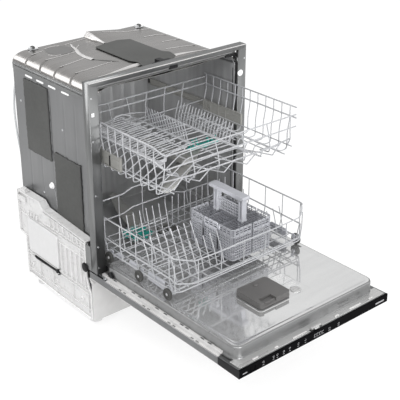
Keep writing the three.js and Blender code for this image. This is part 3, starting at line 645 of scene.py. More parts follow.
outer_edge = [(0.7, 30), (0.7, 12)] + arc_points(2.5, 2.5, 1.9, 180, 270)
leg_profile = outer_edge + arc_points(30.4, 2.5, 1.9, 270, 360) + [(32.3, 12)]
top_profile = outer_edge + arc_points(12.0, 2.5, 1.9, 270, 360) + [(13.9, 17)]
legs = [frame_leg(side, leg_profile, 207.4, lambda d: HEIGHT - min(d, 13.9)) for side in (-1, 1)]
top_rail = folded_sheet([(d - HALF_WIDTH, y, HEIGHT - d) for d, y in top_profile],
                        [(HALF_WIDTH - d, y, HEIGHT - d) for d, y in top_profile])
cheeks = [box(s * 297, s * 298.3, 28, 58, 207.4, 290) for s in (-1, 1)]
piece("frame_front", "cabinet", legs + [top_rail] + cheeks, STEEL_FRAME, ["front_frame"], solid=1.2, angle=50)
piece("frame_recess", "cabinet", [box(-267, 267, 17, 18, 786.6, 801.5)], STEEL_IN)
# Painted highlight: a light strip along the top front edge of the frame.
piece("frame_edge_highlight", "cabinet", [box(-297, 297, -0.2, 2.2, 813.2, 815)], CREASE_HIGHLIGHT)
seal_profile = [(30.6, 13), (32.6, 12), (34.4, 14), (34.6, 25), (32, 27), (30.8, 25)]
leg_seal = [frame_leg(side, seal_profile + seal_profile[:1], 216, lambda d: 786) for side in (-1, 1)]
top_seal = prism([(y, HEIGHT - d + 6) for d, y in seal_profile], "x", -262, 262)
# Painted shade: one gasket, grey on its left and top legs, black on its right leg and at the top right corner
# where it lies in shade.
piece("frame_seal", "cabinet", [leg_seal[1], box(222, 270, 11.5, 15.5, 781.0, 790.0), (*leg_seal[0], 1),
    (*top_seal, 1)], [BLACK_SHADE, SEAL_GREY], ["door_gasket"], angle=60)
screws = []
for x in (-291, 291):
    for z in (228, 300, 470, 640, 770):
        screws.append(lathe([(0, -0.9), (2.6, -0.8), (3.4, 0.2), (3.4, 1)], (x, 0.4, z), "y", 14))
piece("frame_screws", "cabinet", screws, STEEL_BRIGHT)
cap = lathe([(0, -4.2), (3.2, -4.2), (3.8, -3.4), (4.2, -2.2), (9.4, -1.6), (11, -0.4), (11, 0.6)],
    (276, 1, 725), "y", 24)
piece("buffer_cap", "cabinet", [cap], WHITE)
small = [box(-293, -284, -2.2, 1, 716, 727), box(-296, -288, 4, 26, 760, 771),
    box(276, 292, -1.6, 1, 470, 480), box(-282, -279, 12, 15, 452, 530)]
piece("frame_clips", "cabinet", small, WHITE, bevel=0.8)
catch = [box(-31, 31, 18, 58, 791.5, 806), box(-24, 24, 22, 52, 805, 809), box(-8, 22, 5, 24, 801.5, 812.5),
         box(-8, 22, -0.6, 7.6, 796.5, 806), box(-36, -30, 20, 44, 795, 803), box(30, 36, 20, 44, 795, 803),
         box(-44, 40, 58, 64, 792, 800), box(0, 20, 34, 84, 790, 807), box(22, 40, 40, 66, 796, 806)]
piece("catch_block", "cabinet", catch, BLACK, ["door_catch"], bevel=1.2)


# ---------------------------------------------------------------- damping mats
def mat_sheet(x, y0, y1, z0, z1, seed):
    """A slightly wavy mat with an uneven edge, standing against the side wall."""
    rng = random.Random(seed)
    rows, columns = 24, 36
    ys, zs = spread(y0, y1, rows), spread(z0, z1, columns)
    wobble = {}
    for i in range(rows):
        for j in range(columns):
            dy = rng.uniform(-1.6, 1.6) if i in (0, rows - 1) else 0
            dz = rng.uniform(-1.6, 1.6) if j in (0, columns - 1) else 0
            wobble[i, j] = dy, dz

    def spot(y, z):
        dy, dz = wobble[ys.index(y), zs.index(z)]
        return x - 0.6 * noise.noise(Vector((y * 0.03, z * 0.03, seed))), y + dy, z + dz
    return surface(spot, ys, zs)


piece("mat_side_rear", "cabinet", [mat_sheet(-TUB - 2.0, 268, 404, 484, 722, 3)], PAD, ["pad_left_rear"],
    solid=2.4)
piece("mat_side_front", "cabinet", [mat_sheet(-TUB - 2.0, 108, 250, 285, 522, 5)], PAD, ["pad_left_front"],
    solid=2.4)
roof_outline = rounded([(-40, 90, 0), (16, 79, 0), (72, 82, 0), (102, 112, 0), (113, 150, 0), (98, 172, 0),
    (99, 338, 0), (60, 356, 0), (13, 351, 0), (-39, 339, 0), (-40, 158, 0), (-27, 130, 0)], 6, 3,
    closed=True)
roof_outline = [(p.x, p.y) for p in roof_outline]
piece("mat_roof", "cabinet", [prism(roof_outline, "z", TOP_Z + 1.6, TOP_Z + 4.4)], PAD, ["pad_top"],
    bevel=0.8)

# ---------------------------------------------------------------- marks on the side wall
dots = []
for y, z in ((197, 611), (329, 357), (120, 250), (430, 640)):
    dots.append(lathe([(0, -2.6), (2.4, -2.4), (4, -1.2), (4, 0.4)], (0.2 - TUB, y, z), "x", 14))
piece("side_studs", "cabinet", dots, STEEL_BRIGHT)
peg = lathe([(0, -9), (5, -9), (7.5, -7.5), (8, -4), (10, -3), (11, -1), (11, 0.5)], (-TUB, 277, 398), "x",
    24)
piece("side_plug", "cabinet", [peg], WHITE)
lead = tube(rounded([(-268, 262, 392), (-270, 254, 378), (-268, 252, 352), (-268, 254, 330)], 8), 0.9, 6)
piece("side_wire", "cabinet", [lead], STEEL_BRIGHT)


# ---------------------------------------------------------------- base tray
def tray_side(side):
    """Moulded side of the base: a thin skin with ribs, rails, a raised box and a ledge on top."""
    def deep(d):
        return side * (HALF_WIDTH - d)

    def rib(d0, d1, y0, y1, z0, z1):
        return box(deep(d0), deep(d1), y0, y1, z0, z1)

    skin = [(44, 26), (230, 28), (414, 37), (414, 176), (450, 184), (450, 318), (440, 331), (318, 333),
        (296, 312), (62, 294), (60, 222), (66, 208), (66, 172), (56, 138), (44, 118)]
    parts = [prism(skin, "x", deep(6.5), deep(9))]
    rim = rounded([(deep(3), y, z) for y, z in skin], 3, 2, closed=True)
    parts.append(tube(rim, 3.0, 6, closed=True))
    for y in (72, 94, 120, 148, 176, 204):
        parts.append(rib(0.8, 7.5, y - 1.3, y + 1.3, 128, 250 if y < 110 else 232))
    for y in (66, 86, 106, 130, 156, 184, 212, 236, 262):
        parts.append(rib(1.4, 7.5, y - 1.0, y + 1.0, 268, 290 + (y - 62) * 0.075))
    for y in (60, 148, 262, 340, 410):
        parts.append(rib(1.6, 7.5, y - 1.2, y + 1.2, 44, 112))
    for z, y0, y1 in ((56, 46, 412), (112, 46, 412), (124, 56, 412), (232, 62, 216), (256, 62, 440),
            (266, 64, 300)):
        parts.append(rib(1.4, 7.5, y0, y1, z - 1.2, z + 1.2))
    parts.append(prism([(58, 294), (296, 312), (296, 315), (58, 297)], "x", deep(0.5), deep(29)))
    parts.append(prism([(58, 284), (296, 302), (296, 305), (58, 287)], "x", deep(0.5), deep(10)))
    parts.append(rib(0.6, 29, 318, 450, 331, 334.5))
    parts.append(rib(0.6, 29, 447, 450, 186, 333))
    parts.append(rib(22, 29, 318, 450, 318, 333))
    parts.append(prism([(296, 300), (318, 320), (318, 334), (296, 315)], "x", deep(0.6), deep(29)))
    parts.append(rib(0.4, 5, 404, 448, 298, 318))
    parts.append(rib(3, 20, 404, 436, 334, 341))
    parts.append(rib(8, 16, 410, 428, 340, 347))
    parts.append(rib(2, 26, 444, 448, 224, 318))
    for y in (340, 356, 372, 388):
        parts.append(rib(0.4, 6.5, y - 4, y + 4, 262, 274))
    parts.append(rib(0.6, 12, 60, 68, 262, 290))
    parts.append(rib(-0.2, 6, 60, 66, 222, 262))
    for y in (96, 240, 388):
        parts.append(lathe([(3, -3), (7, -3), (7.5, -2), (7.5, 3), (3, 3)], (deep(4), y, 78), "x", 16))
    return parts


plates = [box(*p) for p in (
    (-292, 292, 48, 413, 38, 41.5), (-292, 292, 410, 413, 41, 146), (-292, 292, 48, 51, 41, 111),
    (-120, -113, 412, 491.8, 60, 140), (113, 120, 412, 491.8, 60, 140), (-119, 119, 412, 491.8, 60, 66),
    (-119, 119, 412, 491.8, 134, 140), (-114, 114, 414, 420, 65, 135))]
plates += [box(x - 1.5, x + 1.5, 410, 416.5, 44, 140) for x in range(-270, 271, 45) if abs(x) > 125]
plates += [box(side * 256, side * 290, y0, y1, 41, 149) for side in (-1, 1)
           for y0, y1 in ((112, 115), (130, 133), (395, 398), (409, 412))]
piece("base_shell", "cabinet", tray_side(-1) + tray_side(1) + plates, TRAY, ["base_tray"], bevel=0.7)


def knob(profile, centre):
    return lathe([(0, -6), *profile, (0, 9)], centre, "x", 24)


def tray_fittings(side, word):
    """Smooth panel, black rod with its clip, and black knob on one side of the base."""
    def deep(d):
        return side * (HALF_WIDTH - d)

    panel = [Vector((deep(1.6), y, z)) for y, z in (
        (224, 130), (392, 130), (396, 134), (396, 248), (390, 252), (228, 248), (222, 240), (222, 134))]
    middle = sum(panel, Vector()) / len(panel)
    outer = [Vector((deep(0.1), middle.y + (p.y - middle.y) * 0.985, middle.z + (p.z - middle.z) * 0.985))
             for p in panel]
    inner = [Vector((deep(8), p.y, p.z)) for p in panel]
    piece(f"base_panel_{word}", "cabinet", [rings([inner, panel, outer])], TRAY_SHEET, bevel=0.6)
    rod = [tube([(deep(1.5), 222, 124), (deep(1.5), 236, 119), (deep(1.5), 352, 116.5),
        (deep(1.5), 362, 120)], 4.6, 8), tube([(deep(0.6), 226, 126), (deep(0.6), 218, 122),
        (deep(0.6), 216, 112), (deep(0.6), 226, 108)], 2.0, 6),
        lathe([(0, -5), (5, -5), (6, -3.5), (6, 3)], (deep(1), 228, 119), "x", 14)]
    piece(f"base_rod_{word}", "cabinet", rod, BLACK)
    if side < 0:
        knobs = [knob([(12.5, -6), (14.8, -4.5), (15.2, -1), (15.2, 7), (11, 9)], (deep(1), 64, 207)),
                 lathe([(0, -9), (6.5, -9), (7.5, -7), (7.5, -5)], (deep(3), 64, 207), "x", 6)]
    else:
        knobs = [mirror(knob([(10, -6), (12.2, -4.5), (12.6, -1), (12.6, 7), (9, 9)], (-293, 66, 207)))]
    piece(f"base_knob_{word}", "cabinet", knobs, BLACK)


tray_fittings(-1, "left")
tray_fittings(1, "right")

# ---------------------------------------------------------------- door
PAN_LOW, PAN_TOP = 174.6, 201.3
HEEL, FREE, STRIP = 44, -634, 86       # hinged end, free edge, depth of the control module behind it
# Partly painted highlight: the pan is one sheet, but its lower lip takes a light grey for its edge and the
# light along that edge, its upright sides a dark steel.
pan = [(*prism([(-295, PAN_LOW), (295, PAN_LOW), (297.2, PAN_LOW + 1.4), (297.5, PAN_LOW + 3.2),
    (-297.5, PAN_LOW + 3.2), (-297.2, PAN_LOW + 1.4)], "y", FREE + STRIP + 0.3, HEEL), 0)]
for side in (-1, 1):
    pan.append((*box(side * 296, side * 297.2, FREE + STRIP + 0.3, HEEL, PAN_LOW + 3, PAN_TOP - 0.3), 1))
pan.append((*box(-297, 297, HEEL - 1.4, HEEL, PAN_LOW + 3, PAN_TOP - 0.3), 1))
piece("door_pan", "door", pan, [DOOR_EDGE, DOOR_SIDE], ["door_outer_panel"], bevel=0.4)

# Liner: a flange on the pan's edge, upright walls and a dished top with rounded corners.
LINER_X, LINER_END, LINER_HEEL = 277, -597, -8


def liner_loop(inset, z, r):
    """One level of the liner, its corners rounded by r."""
    return [(x, y, z) for x, y in round_rect(
        inset - LINER_X, LINER_X - inset, LINER_END + inset, LINER_HEEL - inset, max(4, r), 7)]


profile = [(-6, 203.0, 34), (-2, 203.4, 30), (-0.4, 206, 28), (0, 212, 28), (0, 234, 28), (0.8, 237.4, 27),
    (2.6, 239.4, 25), (5.5, 240, 22), (13, 240, 17), (16, 239.2, 15), (18.5, 237.6, 14), (24, 237.2, 12)]
wall = rings([liner_loop(*p) for p in profile[:8]], close_first=False, close_last=False)
crown = rings([liner_loop(*p) for p in profile[7:]], close_first=False)
# Painted light and shade: the liner's crown takes the light steel, its upright walls the dark one.
piece("door_liner", "door", [(*crown, 0), (*wall, 1)], [LINER, LINER_WALL_SHADE], ["door_inner_liner"], angle=40)
flange = []
for side in (-1, 1):
    flange.append((*box(side * 277.4, side * 286.6, FREE + STRIP + 2, -8, 202.2, 211), 1))
    flange.append((*prism([(side * 287, 199), (side * 297.3, 199), (side * 297.3, 200.4),
        (side * 288.4, 200.4), (side * 288.4, 203.6), (side * 287, 203.6)], "y", FREE + STRIP + 2, -36), 1))
    for y in (-100, -215, -330, -430):
        for dy in (0, 22):
            flange.append((*box(side * 290, side * 294, y - dy, y - dy - 12, 200.2, 200.9), 2))
    for y in (-60, -150, -180, -262, -300, -372, -395, -460, -490):
        flange.append((*box(side * 279.5, side * 284, y, y - 15, 210.9, 211.5), 2))
flange.append((*box(-276, 276, FREE + STRIP + 1, LINER_END + 4, 202.2, 203.6), 0))
piece("door_flange", "door", flange, [DECK, DOOR_EDGE, DOOR_SIDE], bevel=0.3)

# Control module: steel deck, dark end caps, a glossy strip along the free edge and its marks.
deck = [(*box(-296, 296, FREE + 4, FREE + STRIP - 1, PAN_LOW + 1.5, PAN_TOP - 0.4), 0)]
for x0, x1, near in ((-290, -24, 8), (24, 290, 8), (-24, 24, 16)):
    deck.append((*box(x0, x1, FREE + near, LINER_END + 10, PAN_TOP - 0.6, 203.4), 1))
piece("control_deck", "door", deck, [DOOR_SIDE, DECK], ["control_panel"], bevel=0.6)
end_cap = [(FREE + 0.4, PAN_LOW + 0.4), (FREE + STRIP - 1, PAN_LOW + 2.2), (FREE + STRIP - 1, PAN_TOP - 2),
           (FREE + 0.4, PAN_TOP - 0.2)]
ends = [prism(end_cap, "x", side * 295.5, side * 297.6) for side in (-1, 1)]
piece("control_ends", "door", ends, BLACK, bevel=0.5)
bar = [(FREE, PAN_LOW + 1.6), (FREE + 1.2, PAN_LOW + 0.2), (FREE + 4, PAN_LOW), (FREE + 5, PAN_LOW),
       (FREE + 5, PAN_TOP + 0.6), (FREE + 1.6, PAN_TOP + 0.6), (FREE, PAN_TOP - 0.8)]
under_key = bar[:2] + [(FREE + 5, PAN_LOW), (FREE + 5, 180.4), (FREE, 180.4)]
over_key = [(FREE, 195.6), (FREE + 5, 195.6)] + bar[4:]
strip = [prism(bar, "x", -297.4, -260), prism(bar, "x", -240, 297.4),
         prism(under_key, "x", -260, -240), prism(over_key, "x", -260, -240)]
piece("control_strip", "door", strip, GLOSS)
piece("power_button", "power_key", [box(-258.6, -241.4, FREE + 0.5, FREE + 5, 181.4, 194.6)], GLOSS,
    ["power_key"], bevel=1.2)


def flat_mark(points):
    return [(x, FREE - 0.12, z) for x, z in points], [tuple(range(len(points)))]


def bar_mark(x0, x1, z0, z1):
    return flat_mark([(x0, z0), (x1, z0), (x1, z1), (x0, z1)])


def ring_mark(x, z, r, n=16, width=0.9):
    verts = [(x + q * math.cos(a), FREE - 0.12, z + q * math.sin(a)) for q in (r, r - width) for a in
        turns(n)]
    return verts, [(i, (i + 1) % n, (i + 1) % n + n, i + n) for i in range(n)]


marks = []
for k, x in enumerate((-211, -173, -159, -135, -112, -79, -51)):
    marks += [ring_mark(x, 191, 3.2), bar_mark(x - 3, x + 3, 182, 183.4)]
    if k % 2:
        marks.append(flat_mark([(x - 1, 184.8), (x + 1, 184.8), (x, 187)]))
for x in (-16, -6, 4, 14):
    marks += [bar_mark(x, x + 8, 183, 184.2), bar_mark(x, x + 8, 192, 193.2),
        bar_mark(x, x + 1.2, 184.2, 192)]
for x in (46, 84):
    marks += [ring_mark(x, 188, 3.4), bar_mark(x - 4, x + 4, 181, 182.2)]
marks += [bar_mark(-286, -270, 185, 188), bar_mark(244, 282, 184, 189)]
piece("strip_marks", "door", marks, MARK)
latch = [box(-19, 19, FREE + 8, FREE + 15, 203.4, 211), box(-9, 9, FREE + 4, FREE + 10, 203.4, 208)]
piece("latch_keeper", "door", latch, DECK, bevel=1.0)
fittings = []
for x, w in ((-228, 10), (-150, 6), (-60, 26), (90, 8), (168, 24), (236, 8)):
    fittings.append(box(x - w, x + w, FREE + 12, FREE + 17, 203.4, 205.6))
piece("deck_fittings", "door", fittings, DOOR_EDGE, bevel=0.6)
cover = [(-56, 211.2), (-34, 211.2), (-34, 222), (-40, 229), (-46, 229), (-56, 215)]
piece("hinge_covers", "door", [prism(cover, "x", side * 279, side * 283) for side in (-1, 1)], BLACK,
    bevel=0.8)

# Dispenser: sunk plate, ribbed slide rail, sliding lid with a grip, round rinse cap.
loops = [[(x, y, z) for x, y in round_rect(-103 + i, 102 - i, -509 + i, -385 - i, 14 - i)]
         for i, z in ((0, 237.0), (1.8, 237.9), (3, 238.1), (5, 238.1), (6.4, 238.0), (8, 237.9))]
ribs = [box(36, 96, y - 1.1, y + 1.1, 237.4, 238.6) for y in range(-470, -392, 7)]
well = [box(-86, 12, -493, -401, 209, 211)]
well += [box(*plan, 209, 237.6) for plan in (
    (-86, -83, -493, -401), (9, 12, -493, -401), (-86, 12, -493, -490), (-86, 12, -404, -401))]
piece("dispenser_plate", "door", [(*rings(loops, close_first=False), 0)] + [(*r, 0) for r in ribs] +
    [(*w, 1) for w in well], [LINER, ARM], ["dispenser_housing"], bevel=0.3)
lid_base = [[(x, y, z) for x, y in round_rect(-95 + i, 25 - i, -500 + i, -393 - i, 11 - min(i, 7))]
            for i, z in ((0, 240.1), (0, 247), (0.5, 247.4))]
near = -499.5                          # edge of the lid toward the free edge of the door
plan = round_rect(-94.5, 24.5, near, -393.5, 11)
start = max(i for i, (x, y) in enumerate(plan) if y < near + 0.01 and x < -80)
plan = plan[:start + 1] + [(-80, near), (-80, -474), (-34, -474), (-34, near)] + plan[start + 1:]
grip = [prism(plan, "z", 247, 258), box(-79, -35, -498, -475, 247, 250.5),
    box(-76, -38, -497, -494, 250, 256)]
button = lathe([(0, 4), (6, 4), (7.5, 3), (8, 1.5), (8, -1)], (-34, -414, 257.6), "z", 20)
piece("dispenser_cover", "dispenser_lid", [rings(lid_base)] + grip + [button], LID, ["dispenser_lid"],
    bevel=0.9)
cap = lathe([(0, 237.6), (15.4, 237.6), (16.8, 238), (16.8, 239.2), (15.6, 239.7), (9, 239.7), (8, 239),
    (0, 239)], (62, -482, 0), "z", 30)
piece("rinse_lid", "rinse_cap", [cap, box(54, 70, -483.4, -480.6, 238.6, 239.7)], DECK, ["rinse_cap"])


# ---------------------------------------------------------------- wires
RIM, THIN = 2.3, 1.85                  # radii of the coated wires


def wire(path, r=THIN, bend=6, steps=3, sides=6):
    """A wire along a path of points, its corners bent to a radius."""
    return tube(rounded(path, bend, steps) if bend else path, r, sides)


# Upper basket: rims, sides that step inwards, a floor that rises towards the middle.
UP_X, UP_FRONT, UP_BACK, UP_TOP = 259.6, -261, 152, 690


def upper_side(side):
    parts = []
    for y in spread(UP_BACK - 8, -238, 12):
        top = UP_TOP if y > -236 else UP_TOP - 6
        parts.append(wire([(side * UP_X, y, top), (side * UP_X, y, 645), (side * 252, y, 606),
            (side * 252, y, 550), (side * 226, y, 549), (side * 172, y, 577), (side * 150, y, 575),
            (side * 142, y, 553), (side * 84, y, 588), (0, y, 590)], bend=9))
    reach = -236 if side < 0 else -268
    second = 650 if side < 0 else 657
    parts += [wire([(side * (UP_X - 3), UP_BACK - 2, z), (side * (UP_X - 3), reach, z)], RIM) for z in
        (UP_TOP, second)]
    for x, back, nose, z in ((249, UP_BACK, -262, 566), (214, UP_BACK - 2, -268, 552),
            (160, UP_BACK - 2, -240, 572)):
        parts.append(wire([(side * x, back, z), (side * x, nose, z)]))
    return parts


for side, word in ((-1, "left"), (1, "right")):
    piece(f"upper_sides_{word}", "upper_basket", upper_side(side), WIRE, [f"upper_side_{word}"])
base = [wire([(x, UP_BACK - 2, z), (x, -244, z)])
        for x, z in ((-84, 584), (0, 587), (84, 584), (-140, 556), (140, 556))]
base += [wire([(24, y, 572), (24, y, 588)]) for y in (-14, 146)]
piece("upper_base", "upper_basket", base, WIRE, ["upper_floor"])
front = [wire(path, RIM, 10) for path in (
    [(3 - UP_X, -236, UP_TOP), (3 - UP_X, -240, UP_TOP - 2), (-241, -262, 668), (-150, UP_FRONT, 666),
     (262, UP_FRONT, 665)],
    [(3 - UP_X, -236, 650), (-242, -262, 628), (-150, UP_FRONT, 627), (264, UP_FRONT, 627)],
    [(-246, -250, 588), (-150, UP_FRONT, 586), (150, UP_FRONT, 585), (246, -252, 588)])]
for x in (-151, -60, 40, 140):
    front.append(wire([(x, UP_FRONT, 666), (x + 11, UP_FRONT, 627), (x + 18, UP_FRONT, 586),
        (x + 26, -248, 566), (x + 26, -210, 562)]))
for x in (-240, 240):
    front.append(wire([(x, -260, 666), (x, -260, 628), (x * 1.02, -258, 590), (x * 1.02, -240, 552)]))
for x0, x1 in ((-205, -174), (-112, -70), (-20, 22), (70, 112), (174, 205)):
    front.append(wire([(x0, -256, 556), (x1, -256, 585)]))
    front.append(wire([(x0, -256, 556), (x0 - 40, -160, 556)]))
piece("upper_nose", "upper_basket", front, WIRE, ["upper_front"])
rear = [wire([(-UP_X + 3, UP_BACK - 2, z), (UP_X - 3, UP_BACK - 2, z)], RIM) for z in (678, 655)]
rear += [wire([(x, UP_BACK - 2, 678), (x + lean, UP_BACK - 2, 640), (x + lean * 1.6, UP_BACK - 6, 585)])
         for x, lean in ((-204, 8), (-130, 8), (-60, 8), (18, -6), (92, -6), (168, -8))]
rear += [wire([(-UP_X + 3, UP_BACK - 2, 600), (-150, UP_BACK - 2, 598), (150, UP_BACK - 2, 598),
    (UP_X - 3, UP_BACK - 2, 600)]), wire([(-150, UP_BACK - 4, 612), (-110, UP_BACK - 4, 626),
    (-50, UP_BACK - 4, 626), (20, UP_BACK - 4, 612)])]
piece("upper_tail", "upper_basket", rear, WIRE, ["upper_back"])

# Upper tines: a leaning row that folds, and a fixed upright row at the right.
TX, TZ = 24, 574
fold = [wire([(TX, -50, TZ), (TX, 148, TZ)], 1.6)]
fold += [wire([(TX, y, TZ), (TX - 17, y, TZ + 62)], THIN, 0) for y in spread(140, -42, 14)]
piece("upper_fold_row", "upper_tines", fold, WIRE, ["upper_tines"])
upright = [wire([(122, 146, 562), (122, -130, 562)], 1.6), wire([(138, 146, 575), (138, -130, 575)])]
upright += [wire([(122, y, 562), (127, y, 588), (139, y, 625)], THIN, 8) for y in spread(140, -118, 19)]
upright += [wire([(24, y, 560), (122, y, 562), (176, y, 572)]) for y in (110, 40, -30, -100)]
piece("upper_fixed_row", "upper_basket", upright, WIRE)

# Cup shelf at the left: hairpin loops between a hinge bar and the inner bar.
SX0, SX1, SZ = -229, -84, 640
shelf = [wire([(SX0, 108, SZ - 5), (SX0, -206, SZ - 5)], RIM),
    wire([(SX1, 96, SZ), (SX1, -190, SZ - 2)], RIM), wire([(-190, 108, SZ - 2), (-190, -206, SZ - 2)]),
    wire([(-124, 108, SZ), (-124, -206, SZ)])]
for y in spread(98, -194, 12):
    shelf.append(wire([(SX0 + 2, y + 6, SZ - 5), (-180, y + 6, SZ - 1), (-112, y + 6, SZ + 1),
        (-106, y, SZ + 1), (-112, y - 6, SZ + 1), (-180, y - 6, SZ - 1), (SX0 + 2, y - 6, SZ - 5)], 1.25,
        4, 2, 5))
for y in spread(86, -182, 6):
    shelf.append(wire([(-124, y, SZ), (SX1, y, SZ)], 1.25))
shelf.append(wire([(-150, 96, SZ), (-142, 98, SZ + 12), (-112, 98, SZ + 12), (SX1, 94, SZ)], THIN, 8))
piece("glass_shelf", "cup_shelf", shelf, WIRE, ["cup_shelf"])
combs = []
for y0 in (-215, -120, -30, 60):
    combs.append(box(-226, -196, y0, y0 + 2.4, SZ - 14, SZ - 4))
    combs.append(box(-227, -216, y0 - 14, y0 + 16, SZ - 12, SZ - 8))
piece("shelf_combs", "cup_shelf", combs, WIRE, bevel=0.6)

# Lower basket.
LOW_X, LOW_FRONT, LOW_BACK, LOW_TOP, LOW_FLOOR = 260.4, -320, 102, 388, 268
SIDE_X = 252.5                         # lower part of the sides, under the kink
FOOT_Z = 274                           # wires on which the tines stand


def lower_side(side):
    rim = [(side * LOW_X, LOW_BACK, LOW_TOP), (side * LOW_X, -300, LOW_TOP), (side * 256, -312, LOW_TOP)]
    parts = [wire(rim, RIM, 8),
             wire([(side * LOW_X, LOW_BACK, 322), (side * LOW_X, -302, 316)], RIM),
             wire([(side * SIDE_X, LOW_BACK, 272), (side * SIDE_X, -306, 272)], RIM)]
    for y in spread(84, -300, 6):
        parts.append(wire([(side * LOW_X, y, LOW_TOP), (side * LOW_X, y, 312), (side * SIDE_X, y, 284),
            (side * SIDE_X, y, LOW_FLOOR), (side * 232, y, LOW_FLOOR)], THIN, 8))
    return parts


for side, word in ((-1, "left"), (1, "right")):
    piece(f"lower_sides_{word}", "lower_basket", lower_side(side), WIRE, [f"lower_side_{word}"])
nose = [wire([(-LOW_X, -304, LOW_TOP), (-258, -318, LOW_TOP - 4), (-228, LOW_FRONT - 1, 372),
    (-186, LOW_FRONT - 1, 353), (-100, LOW_FRONT - 1, 350), (150, LOW_FRONT - 1, 350),
    (238, LOW_FRONT - 1, 352), (252, LOW_FRONT + 4, 372), (LOW_X, -304, LOW_TOP)], 2.1, 10),
    wire([(-LOW_X, -304, 318), (-255, LOW_FRONT, 304), (-186, LOW_FRONT, 280), (-100, LOW_FRONT, 277),
    (150, LOW_FRONT, 277), (240, LOW_FRONT, 280), (LOW_X, -304, 316)], 2.1, 10),
    wire([(-252, -310, 272), (-236, LOW_FRONT, 270), (240, LOW_FRONT, 270), (252, -310, 272)], 1.9, 10)]
for x in (-258, -170, -82, 6, 94, 182, 250):
    low = 318 if abs(x) > 240 else 277
    nose.append(wire([(x, LOW_FRONT, 351 if abs(x) < 200 else 366), (x, LOW_FRONT, low),
        (x * 0.98, LOW_FRONT + 2, 269), (x * 0.98, LOW_FRONT + 20, LOW_FLOOR)], THIN, 6))
piece("lower_nose", "lower_basket", nose, WIRE, ["lower_front"])
tail = [wire([(x, LOW_BACK - 1, z + rise) for x, rise in (
    (-LOW_X, 0), (-120, 0), (-88, 12), (88, 12), (120, 0), (LOW_X, 0))], RIM, 10) for z in (LOW_TOP, 320)]
tail += [wire([(x, LOW_BACK - 1, LOW_TOP + (12 if abs(x) < 88 else 0)), (x, LOW_BACK - 1, 300),
    (x, LOW_BACK - 12, LOW_FLOOR)]) for x in spread(-230, 230, 6)]
piece("lower_tail", "lower_basket", tail, WIRE, ["lower_back"])
grid_wires = [wire([(-SIDE_X, y, LOW_FLOOR), (SIDE_X, y, LOW_FLOOR)]) for y in spread(-300, 86, 12)]
grid_wires += [wire([(x, LOW_BACK - 10, LOW_FLOOR + 3), (x, LOW_FRONT + 8, LOW_FLOOR + 3)]) for x in
    (-232, -200, -150, -118, -66, -34, 16, 50, 100, 134, 184, 216)]
piece("lower_base", "lower_basket", grid_wires, WIRE, ["lower_floor"])


def foot_wire(x0, x1, y):
    return wire([(x0, y, FOOT_Z), (x1, y, FOOT_Z)], 1.6)


def tine_row(xs, y, *steps):
    """Tines with their feet at y, each bent through points (dx, dy, z) from its foot."""
    return [wire([(x, y, FOOT_Z)] + [(x + dx, y + dy, z) for dx, dy, z in steps], THIN, 10) for x in xs]


ROW_Y = -20                            # the row that folds
fold = [foot_wire(-215, -25, ROW_Y)] + tine_row(spread(-207, -33, 8), ROW_Y, (1, 10, 312), (1, 24, 371))
fold.append(wire([(-207, ROW_Y + 11, 320), (-33, ROW_Y + 11, 320)]))
piece("lower_fold_row", "lower_tines", fold, WIRE, ["lower_tines"])
rows = [foot_wire(-4, 232, 10), foot_wire(-222, -24, -275), foot_wire(-222, -24, -150),
        wire([(-4, 22, 318), (232, 22, 318)])]
left, right = spread(-214, -32, 8), spread(160, 240, 4)
rows += tine_row(spread(4, 228, 10), 10, (2, 4, 310), (4, 6, 372))
rows += tine_row(left, -275, (1, 13, 312), (1, 37, 366)) + tine_row(left, -150, (1, 10, 306), (1, 32, 350))
rows += tine_row(right, -70, (2, 4, 310), (4, 10, 352)) + tine_row(right, -250, (2, 10, 310), (4, 26, 352))
piece("lower_fixed_rows", "lower_basket", rows, WIRE)

# Roller wheels and their lilac brackets.
AXLES = {"front": -290, "middle": -157, "rear": -10}
AXLE_Z, WHEEL_X = 259, 258.6
TREAD = [(0, 4.2), (3.6, 4.2), (4.4, 3.0), (7.4, 2.6), (7.8, 1.8), (12.2, 1.8), (12.8, 3.4), (16.6, 4.0),
    (18, 2.6), (18, -2.6), (16.6, -4), (12.8, -3.4), (12.2, -1.8), (7.8, -1.8), (7.4, -4), (0, -4)]


def roller(side, y):
    """A wheel with six spokes and a bright hub cap."""
    x = side * WHEEL_X
    centre = (x, y, AXLE_Z)
    hub = [(0, 4.9 * side), (3.2, 4.9 * side), (4.2, 4.0 * side), (4.2, 2 * side)]
    spoke = box(x - 2.2, x + 2.2, y - 0.9, y + 0.9, 266.5, 272)
    parts = [(*lathe([(r, h * side) for r, h in TREAD], centre, "x", 30), 0), (*lathe(hub, centre, "x", 16), 2)]
    parts += [(*turned(spoke, Matrix.Rotation(a, 3, "X"), centre), 0) for a in turns(6)]
    return parts


for word, y in AXLES.items():
    axle = (*tube([(-256, y, AXLE_Z), (256, y, AXLE_Z)], 2.4, 10), 1)
    piece(f"roller_{word}", f"wheelset_{word}", [axle] + roller(-1, y) + roller(1, y),
        [WHEEL, STEEL_BRIGHT, HUB], [f"wheelset_{word}"])
brackets = []
for side in (-1, 1):
    for y0, y1, z0, z1 in ((-262, -186, 254, 284), (-130, -96, 262, 284), (-64, -36, 262, 284)):
        outline = [(y0, z0), (y1, z0 + 4), (y1, z1 - 4), (y1 - 6, z1), (y0 + 8, z1), (y0, z1 - 6)]
        brackets.append(prism(outline, "x", side * 244.8, side * 248.6))
        brackets.append(box(side * 240, side * 244.8, y0 + 4, y1 - 4, z1 - 8, z1 - 5))
    for y in AXLES.values():
        brackets.append(lathe([(0, -2), (6, -2), (6.5, 0), (6.5, 5), (0, 5)], (side * 247, y, AXLE_Z), "x",
            16))
        brackets.append(prism([(y - 5, AXLE_Z), (y + 5, AXLE_Z), (y + 7, 280), (y - 7, 280)], "x",
            side * 245, side * 248.4))
